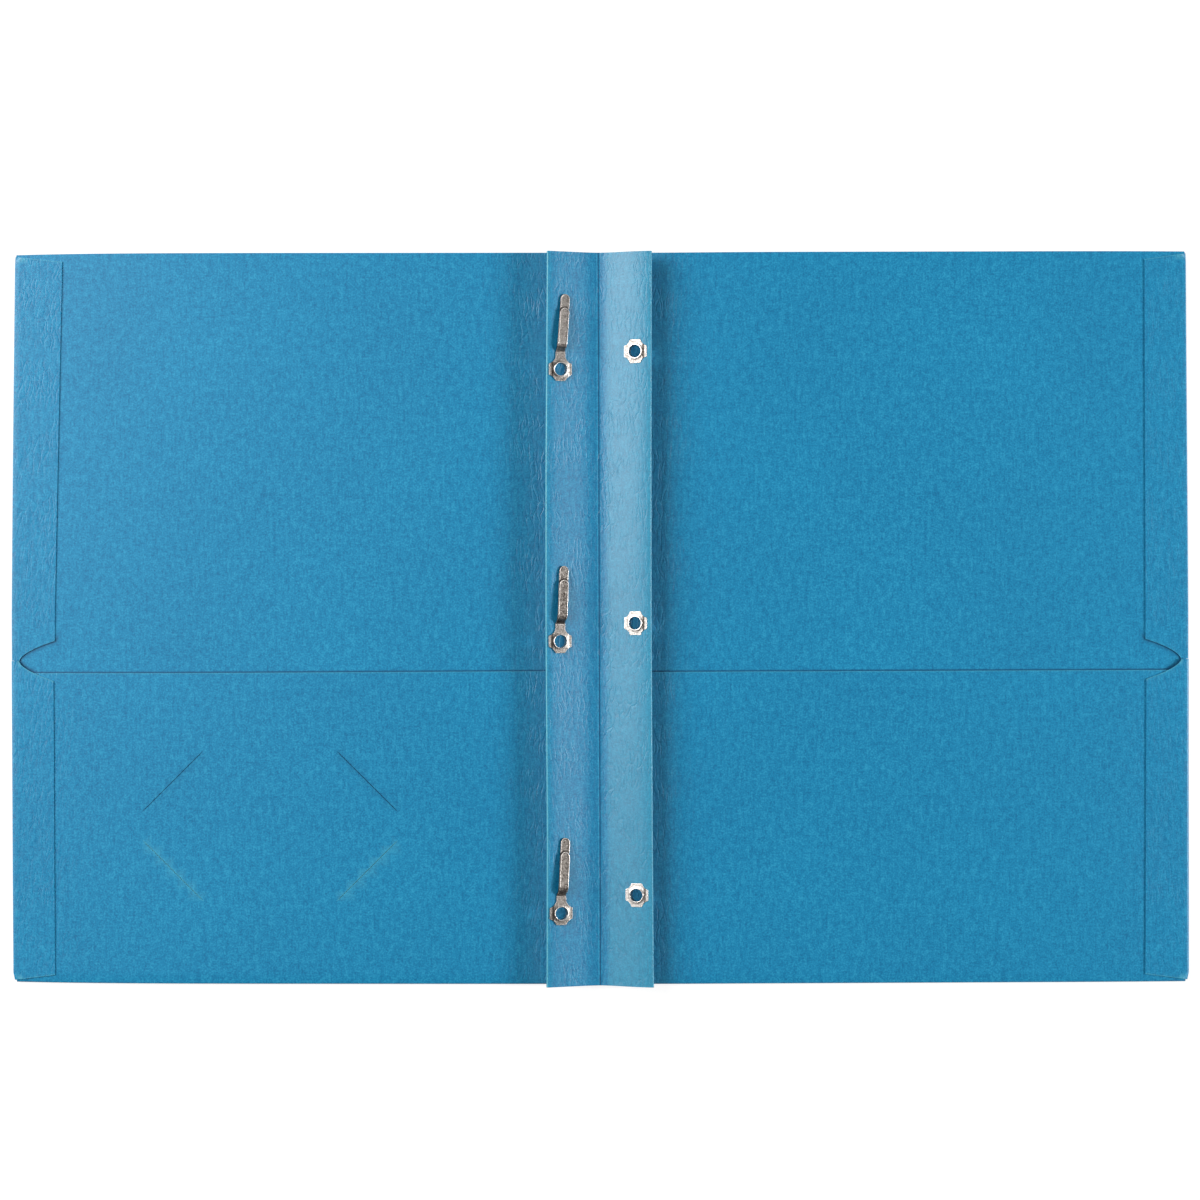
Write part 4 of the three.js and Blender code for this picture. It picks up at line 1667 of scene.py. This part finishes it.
# %% Shape of the riser and the legs
HINGE_V = 9.4
HINGE_W = 3.15
RISER_LENGTH = 2.1
RISER_HEIGHT = 1.4
LEG_LIFT = 0.62
LEG_GAP = 0.02
PARTS_AFTER = 0.2
PARTED_BY = 0.9
CROWN_REACH = 1.3
CROWN_RISE = 0.12
TIP_DROP = 1.3
LONG_REACH = 20.6
SHORT_REACH = 15.1
SHORT_FROM = 0.3
SHORT_HINGE = 0.7
# Where a leg turns to its lean, along it from the hinge
TURNED_IN = (-2.4, 0.6)
LEANS = (5.4, 3.4, 4.0)
ASIDES = (0.15, 0.35, 0.3)


def leg_rise(along):
    if along < CROWN_REACH:
        return CROWN_RISE * math.sin(math.pi / 2.0 * along / CROWN_REACH)
    share = (along - CROWN_REACH) / (LONG_REACH - CROWN_REACH)
    return CROWN_RISE - share * (CROWN_RISE + TIP_DROP)


def lower_middle(along):
    """Height of the lower strip: up the riser, then along the long leg."""
    if along < 0.0:
        share = max(0.0, min(1.0, (along - RISER_START + HINGE_V) / RISER_LENGTH))
        return HINGE_W - RISER_HEIGHT * (1.0 - share * share * (3.0 - 2.0 * share))
    return HINGE_W + leg_rise(along)


def upper_middle(along):
    """Height of the upper strip, which parts from the lower one as both climb."""
    start = RISER_START - HINGE_V
    lift = LEG_LIFT * smooth(along, start + PARTS_AFTER, PARTED_BY)
    return lower_middle(along) + lift + LEG_GAP


def place_leg(points, row):
    """From the leg's own place beside its hinge to the world."""
    lean = math.radians(LEANS[row])
    placed = []
    for x, a, w in points:
        turned_in = smooth(a, *TURNED_IN)
        v = HINGE_V + a * math.cos(lean * turned_in) - x * math.sin(lean * turned_in)
        u = x * math.cos(lean * turned_in) + a * math.sin(lean * turned_in) * turned_in
        u += ASIDES[row] * turned_in
        wx, wz = flap_place(-1, PRONG_FROM_SPINE - u, w)
        ring_y = ROWS[row] - RING_DROP
        placed.append((wx + row_shift(-1, PRONG_FROM_SPINE, ring_y), ring_y + v, wz))
    return placed


print("legs rise to", round(upper_middle(CROWN_REACH), 2))

# %% The riser's upper strip
def strip_stub(along, middle):
    """The upper strip where it is still part of the riser: the same section with square ends."""
    section = [(-(LEG_HALF - inset), height, shine) for inset, height, shine in LEG_RINGS]
    section += [(-x, height, shine) for x, height, shine in reversed(section)]
    size = len(section)
    points, polish_and_light, faces = [], [], []
    for a in along:
        points += [(x, a, middle(a) + height) for x, height, shine in section]
        polish_and_light += [shine for x, height, shine in section]
    for i in range(len(along) - 1):
        for j in range(size):
            k = (j + 1) % size
            here, there = i * size, (i + 1) * size
            faces.append((here + j, there + j, there + k, here + k))
    faces.append(tuple(range(size)))
    faces.append(tuple((len(along) - 1) * size + j for j in reversed(range(size))))
    return points, faces, polish_and_light


def joined(*parts):
    """Several sets of points, faces and polish as one."""
    points, faces, polish_and_light = [], [], []
    for more_points, more_faces, more_polish in parts:
        first = len(points)
        points += more_points
        polish_and_light += more_polish
        faces += [tuple(first + index for index in face) for face in more_faces]
    return points, faces, polish_and_light


# %% Polish, painted shadow and painted highlight of the legs
SHORT_TIP = SHORT_REACH - LEG_HALF
TIP_GAP = 0.4
TIP_HIGHLIGHT_GAIN = 1.5


def shade_gap(points, faces, polish_and_light):
    """Paints a shadow on the long leg just past the short leg's tip."""
    shaded = []
    for (x, a, w), shine in zip(points, polish_and_light):
        past = math.hypot(x, a - SHORT_TIP) - LEG_HALF
        dark = math.exp(-((max(past, 0.0) / TIP_GAP) ** 2)) * (a > SHORT_TIP)
        shaded.append(shine * (1.0 - dark) - dark)
    return points, faces, shaded


def paint_tip_highlight(points, faces, polish_and_light):
    """Paints a highlight on the rim of the short leg's tip, and deepens the painted shade outside it.
    """
    gains = [TIP_HIGHLIGHT_GAIN if a > SHORT_TIP else 1.0 for x, a, w in points]
    return points, faces, [shine * gain for shine, gain in zip(polish_and_light, gains)]


# %% Build the six legs
ROW_NAMES = ("top", "middle", "bottom")
# Painted brightness for each row of legs, and how far each row's rims are brightened
LEG_ROW_LIGHT = (0.15, -0.04, -0.12)
LEG_RIM_LIGHT = (1.5, 1.1, 1.15)
BEND_STEP = 0.16
LEG_STEP = 0.8
long_marks = stations(
    (RISER_START - HINGE_V, CROWN_REACH, BEND_STEP),
    (CROWN_REACH, SHORT_TIP, LEG_STEP),
    (SHORT_TIP, SHORT_REACH + 1.0, 0.2),
    (SHORT_REACH + 1.0, LONG_REACH - LEG_HALF, LEG_STEP),
)
short_marks = stations((SHORT_FROM, CROWN_REACH, 0.14), (CROWN_REACH, SHORT_TIP, LEG_STEP))
stub_marks = stations((RISER_START - HINGE_V, SHORT_FROM, BEND_STEP))


def make_leg(name, parts, row):
    points, faces, polish_and_light = joined(*parts)
    leg = make_piece(name, place_leg(points, row), faces)
    mark(leg, "polish_and_light", [shine * LEG_RIM_LIGHT[row] + LEG_ROW_LIGHT[row] for shine in polish_and_light])
    shape = bmesh.new()
    shape.from_mesh(leg.data)
    bmesh.ops.recalc_face_normals(shape, faces=shape.faces)
    shape.to_mesh(leg.data)
    shape.free()
    leg.data.materials.append(nickel_steel)
    return leg


long_legs, short_legs = [], []
for row, row_name in enumerate(ROW_NAMES):
    lower = shade_gap(*strip_leg(long_marks, lower_middle))
    upper = paint_tip_highlight(*strip_leg(short_marks, upper_middle))
    stub = strip_stub(stub_marks, upper_middle)
    long_legs.append(make_leg(f"long_leg_{row_name}", [lower, stub], row))
    short_legs.append(make_leg(f"short_leg_{row_name}", [upper], row))
print("legs:", [piece.name for piece in long_legs + short_legs])

# %% [markdown]
# ## What moves with what
# The glue films ride on their covers, and the rows of plates and eyelets on their binding flaps.
# The sheets, the strip and the legs are only fixed in place, and the parts of the drawing that
# they stand for are hidden.


for piece, (half, side) in zip(sheets, HALVES.items()):
    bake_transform(piece)
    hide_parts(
        f"{half}_cover_panel", f"{half}_pocket_panel", f"{half}_side_flap_upper",
        f"{half}_side_flap_lower", f"{half}_flap_under_ply",
    )

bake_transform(strip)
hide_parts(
    "back_flap_top_ply", "front_flap_top_ply", "back_flap_outer_fold", "front_flap_outer_fold"
)

for film, half, level_name in films:
    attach(film, f"{half}_cover")
    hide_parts(f"{half}_side_glue_{level_name}")
print("sheets, strip and films ride:", len(sheets) + 1 + len(films))

# %% Plates and eyelets ride
METAL_ROWS = (
    (washer_plate, "back_binding_flap", "washer"),
    (washer_eyelets, "back_binding_flap", "washer_eyelet"),
    (base_plate, "front_binding_flap", "prong_base"),
    (prong_eyelets, "front_binding_flap", "base_eyelet"),
)
for piece, body, node in METAL_ROWS:
    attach(piece, body)
    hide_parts(*(f"{node}_{row_name}" for row_name in ROW_NAMES))
print("rows of plates and eyelets:", len(METAL_ROWS))

# %% Legs fixed in place
RISER_BEND = -0.6
BEND_ROOM = 0.1


def leg_point(row, along):
    """A point of a leg's middle line in the world, in metres."""
    return [v * MM for v in place_leg([(0.0, along, HINGE_W)], row)[0]]


for row, row_name in enumerate(ROW_NAMES):
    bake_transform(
        long_legs[row], "front_binding_flap", f"long_leg_{row_name}",
        start=leg_point(row, RISER_BEND), end=leg_point(row, SHORT_FROM),
    )
    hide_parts(f"long_prong_{row_name}")
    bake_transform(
        short_legs[row], f"long_leg_{row_name}", f"short_leg_{row_name}",
        start=leg_point(row, SHORT_FROM + BEND_ROOM),
        end=leg_point(row, 2 * SHORT_HINGE - SHORT_FROM),
    )
    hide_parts(f"short_prong_{row_name}")

# %% [markdown]
# ## The table and the light
# The table is a pale plane that the camera, and anything shiny, sees as white, while it still
# takes the folder's shadow. A large soft lamp stands to the upper left, so the back binding flap
# and its washers shine, and a small one to the right draws the thin shadow beside each leg.

# %% Floor
FLOOR_DROP = 0.2
FLOOR_HALF = 3000.0
FLOOR_CORNERS = ((-1, -1), (1, -1), (1, 1), (-1, 1))
FLOOR_PLAIN = 0.8
FLOOR_GLOW = 0.84
FLOOR_TAKES = 0.25


def grey(share):
    return (share, share, share, 1.0)


def shown_plain(tree):
    """A factor that is 1 for what the camera sees straight on, in a mirror or through glass."""
    rays = add_node(tree, "ShaderNodeLightPath").outputs
    seen = math_node(tree, "MAXIMUM", rays["Is Camera Ray"], rays["Is Glossy Ray"])
    return math_node(tree, "MAXIMUM", seen, rays["Is Transmission Ray"])


def make_floor():
    corners = [(x * FLOOR_HALF, y * FLOOR_HALF, -FLOOR_DROP) for x, y in FLOOR_CORNERS]
    floor = make_piece("pale_table", corners, [(0, 1, 2, 3)])
    material = bpy.data.materials.new("pale_table")
    material.use_nodes = True
    tree = material.node_tree
    tree.nodes.clear()
    paper = add_node(tree, "ShaderNodeBsdfDiffuse", inputs={"Color": grey(FLOOR_TAKES)})
    glow = add_node(tree, "ShaderNodeEmission", inputs={"Strength": FLOOR_GLOW})
    both = add_node(tree, "ShaderNodeAddShader", inputs={0: paper.outputs[0], 1: glow.outputs[0]})
    plain = add_node(tree, "ShaderNodeBsdfDiffuse", inputs={"Color": grey(FLOOR_PLAIN)})
    chosen = add_node(
        tree, "ShaderNodeMixShader",
        inputs={0: shown_plain(tree), 1: plain.outputs[0], 2: both.outputs[0]},
    )
    output = tree.nodes.new("ShaderNodeOutputMaterial")
    tree.links.new(chosen.outputs[0], output.inputs["Surface"])
    floor.data.materials.append(material)
    return floor


floor = make_floor()
print(floor.name, "lies", FLOOR_DROP, "mm below the folder")

# %% World
AMBIENT = 0.16
ZENITH = 0.14
SIDES = 0.9
BACK = 0.5


def make_world():
    """White to the camera, an even dim light on card, and pale sides and back in the metal."""
    world = bpy.data.worlds.new("studio")
    world.use_nodes = True
    tree = world.node_tree
    tree.nodes.clear()
    direction = add_node(tree, "ShaderNodeTexCoord").outputs["Generated"]
    parts = add_node(tree, "ShaderNodeSeparateXYZ", inputs={"Vector": direction}).outputs
    rays = add_node(tree, "ShaderNodeLightPath").outputs
    across = math_node(tree, "ABSOLUTE", parts["X"])
    mirrored = level(tree, across, 0.5, 0.95, ZENITH, SIDES)
    mirrored = math_node(tree, "ADD", mirrored, level(tree, parts["Y"], 0.3, 0.9, 0.0, BACK))
    plain = math_node(tree, "MAXIMUM", rays["Is Glossy Ray"], rays["Is Transmission Ray"])
    strength = add_node(
        tree, "ShaderNodeMix", data_type="FLOAT",
        inputs={0: plain, 2: AMBIENT, 3: mirrored},
    ).outputs[0]
    strength = add_node(
        tree, "ShaderNodeMix", data_type="FLOAT",
        inputs={0: rays["Is Camera Ray"], 2: strength, 3: 1.0},
    ).outputs[0]
    glow = add_node(tree, "ShaderNodeBackground", inputs={"Strength": strength})
    output = tree.nodes.new("ShaderNodeOutputWorld")
    tree.links.new(glow.outputs[0], output.inputs["Surface"])
    bpy.context.scene.world = world
    return world


world = make_world()
print("world:", world.name)

# %% Lamps
LAMPS = (
    ("soft_left", (-0.95, 0.35, 0.82), (0.9, 0.77), 17.0),
    ("crisp_right", (1.324, 0.0, 0.704), (0.42, 0.42), 16.2),
)


def add_lamp(name, place, size, power):
    data = bpy.data.lights.new(name, "AREA")
    data.shape = "RECTANGLE"
    data.size, data.size_y = size
    data.energy = power
    lamp = bpy.data.objects.new(name, data)
    lamp.location = place
    lamp.rotation_mode = "QUATERNION"
    lamp.rotation_quaternion = (-Vector(place)).to_track_quat("-Z", "X")
    bpy.context.scene.collection.objects.link(lamp)
    return lamp


lamps = [add_lamp(*lamp) for lamp in LAMPS]
bpy.context.scene.view_settings.view_transform = "Standard"
print("lamps:", [lamp.name for lamp in lamps])
